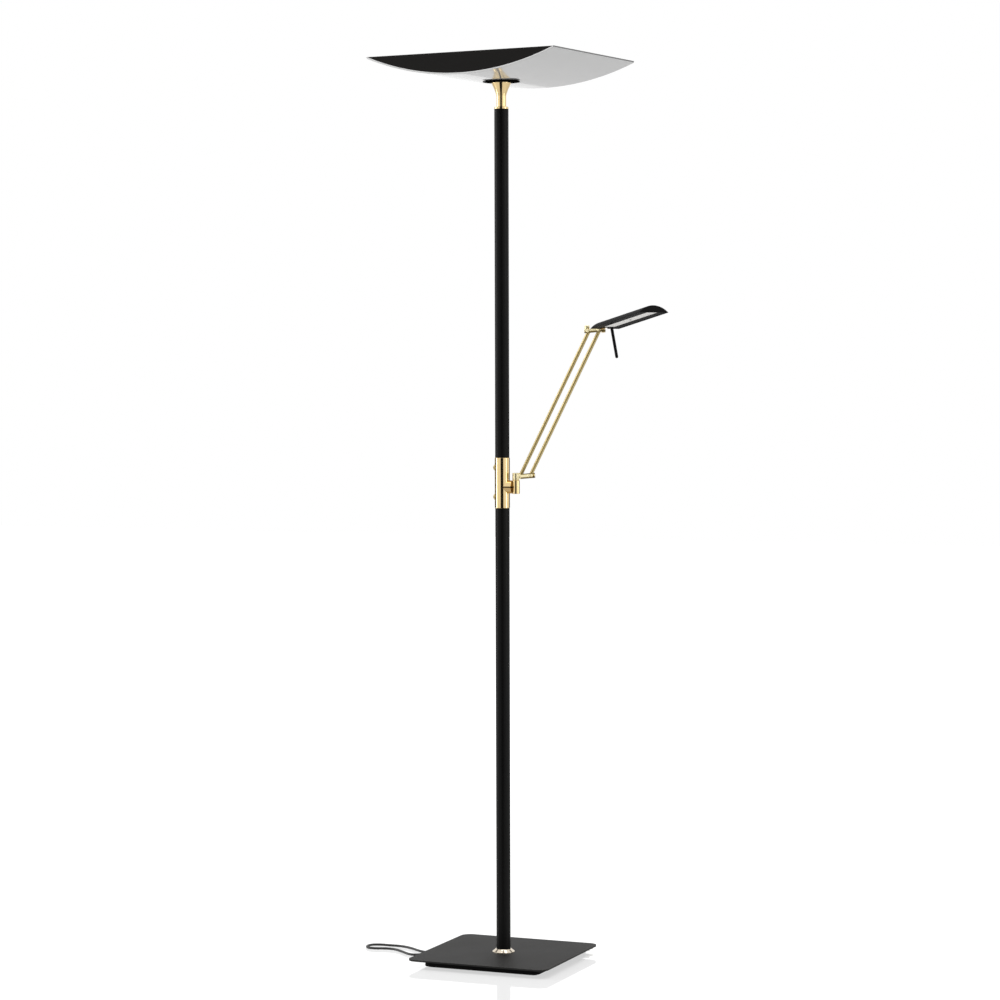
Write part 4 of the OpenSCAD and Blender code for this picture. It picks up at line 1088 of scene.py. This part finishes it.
def floor_coat(mirror, white):
    """A pale floor that mirrors this much, and looks this much whiter than its light makes it."""
    matt = ground.node("ShaderNodeBsdfPrincipled", {}, {
        "Base Color": rgb(0.52, 0.52, 0.52), "Roughness": 0.05, "Specular IOR Level": mirror})
    looked_at = ground.node("ShaderNodeLightPath", out="Is Camera Ray")
    strength = seen_directly(ground) * 0.46 + looked_at * white
    glow = ground.node("ShaderNodeEmission", {}, {"Color": rgb(1, 1, 1), "Strength": strength})
    return ground.node("ShaderNodeAddShader", {}, {0: matt, 1: glow})


polished_to, dry_from = 0.42, 0.75
card_azimuth = camera_azimuth - 6
runner_start, runner_spread = 0.45, 0.32
floor_x, floor_y, _ = xyz(ground, place_on_lamp(ground))
from_foot = ground.sum("SQRT", floor_x * floor_x + floor_y * floor_y)
far_off = faded(ground, from_foot, polished_to, dry_from)
lit = ground.node("ShaderNodeMixShader", {}, {
    0: far_off, 1: floor_coat(mirror=0.6, white=0.11), 2: floor_coat(mirror=0.0, white=0.54)})
card_way = math.radians(card_azimuth)
along = floor_x * math.sin(card_way) - floor_y * math.cos(card_way)
across = floor_x * math.cos(card_way) + floor_y * math.sin(card_way)
runner = (along > runner_start) * (along * runner_spread > ground.sum("ABSOLUTE", across))
in_mirrors = ground.node("ShaderNodeLightPath", out="Is Glossy Ray")
black = ground.node("ShaderNodeEmission", {}, {"Color": rgb(0.01, 0.01, 0.01)})
mirrored = ground.node("ShaderNodeMixShader", {}, {0: runner * in_mirrors, 1: lit, 2: black})
ground.node("ShaderNodeOutputMaterial", {}, {"Surface": mirrored})
floor.data.materials.append(pale)
print("floor of", 2 * floor_half, "m, polished within", dry_from, "m of the pole")

# %% [markdown]
# ### Lamps and cards
# Two large soft lights stand to the left and right, as in the photograph, where the brass has a
# broad bright stripe on its left and a thinner one on its right. Between them the mirror of the
# brass needs something dark to show, so a tall black card with a grey border stands before the
# lamp, seen only in reflections. Two low cards behind the lamp give the sleeve and the arm their
# dark outlines. All stand near the lamp, so that the floor does not mirror them into the picture.


# %% Set up the lights and cards
def soft_light(name, azimuth, height, away, width, tall, watts):
    light = bpy.data.lights.new(name, "AREA")
    light.shape = "RECTANGLE"
    light.size, light.size_y, light.energy = width, tall, watts
    made = bpy.data.objects.new(name, light)
    a = math.radians(azimuth)
    made.location = (away * math.sin(a), -away * math.cos(a), height)
    lamp_middle = Vector((0, 0, 1.0))
    made.rotation_euler = (lamp_middle - made.location).to_track_quat("-Z", "Y").to_euler()
    made.visible_camera = False
    bpy.context.scene.collection.objects.link(made)


def dark_card(name, azimuth, away, reach, low, high, grey):
    """A card for reflections only, reach degrees to each side, between two heights."""
    a = math.radians(azimuth)
    middle = Vector((away * math.sin(a), -away * math.cos(a), (low + high) / 2))
    side = Vector((math.cos(a), math.sin(a), 0)) * away * math.tan(math.radians(reach))
    rise = Vector((0, 0, (high - low) / 2))
    corners = (-side - rise, side - rise, side + rise, rise - side)
    mesh = bmesh.new()
    mesh.faces.new([mesh.verts.new(middle + p) for p in corners])
    card = keep(name, mesh)
    paint = bpy.data.materials.new(name)
    wire = blank(paint)
    glow = wire.node("ShaderNodeEmission", {}, {"Color": rgb(grey, grey, grey), "Strength": 1.0})
    wire.node("ShaderNodeOutputMaterial", {}, {"Surface": glow})
    card.data.materials.append(paint)
    card.visible_camera = card.visible_diffuse = card.visible_shadow = False
    card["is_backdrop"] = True


for name, azimuth, height, away, width, tall, watts in (
        ("window_left", camera_azimuth - 99, 1.6, 3.6, 1.1, 3.0, 40),
        ("window_right", camera_azimuth + 67, 1.6, 4.2, 0.9, 3.0, 24),
        ("ceiling", camera_azimuth + 10, 4.2, 1.0, 3.0, 3.0, 60)):
    soft_light(name, azimuth, height, away, width, tall, watts)
for name, azimuth, away, reach, low, high, grey in (
        ("black_card", card_azimuth, 1.3, 17, 0.3, 2.3, 0.004),
        ("grey_card", card_azimuth, 1.35, 23, 0.3, 2.3, 0.3),
        ("dim_left", camera_azimuth - 146, 0.9, 36, 0.75, 1.1, 0.07),
        ("dim_right", camera_azimuth + 153, 0.9, 29, 0.75, 1.1, 0.07)):
    dark_card(name, azimuth, away, reach, low, high, grey)
bpy.context.scene.view_settings.view_transform = "Standard"
print("3 soft lights and 4 cards set up")

# %% [markdown]
# ## Measure
# The dressed lamp's box is measured over every piece that is shown, and printed.

# %% Measure the dressed lamp
low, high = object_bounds()
print("dressed from", [round(v, 4) for v in low], "to", [round(v, 4) for v in high])
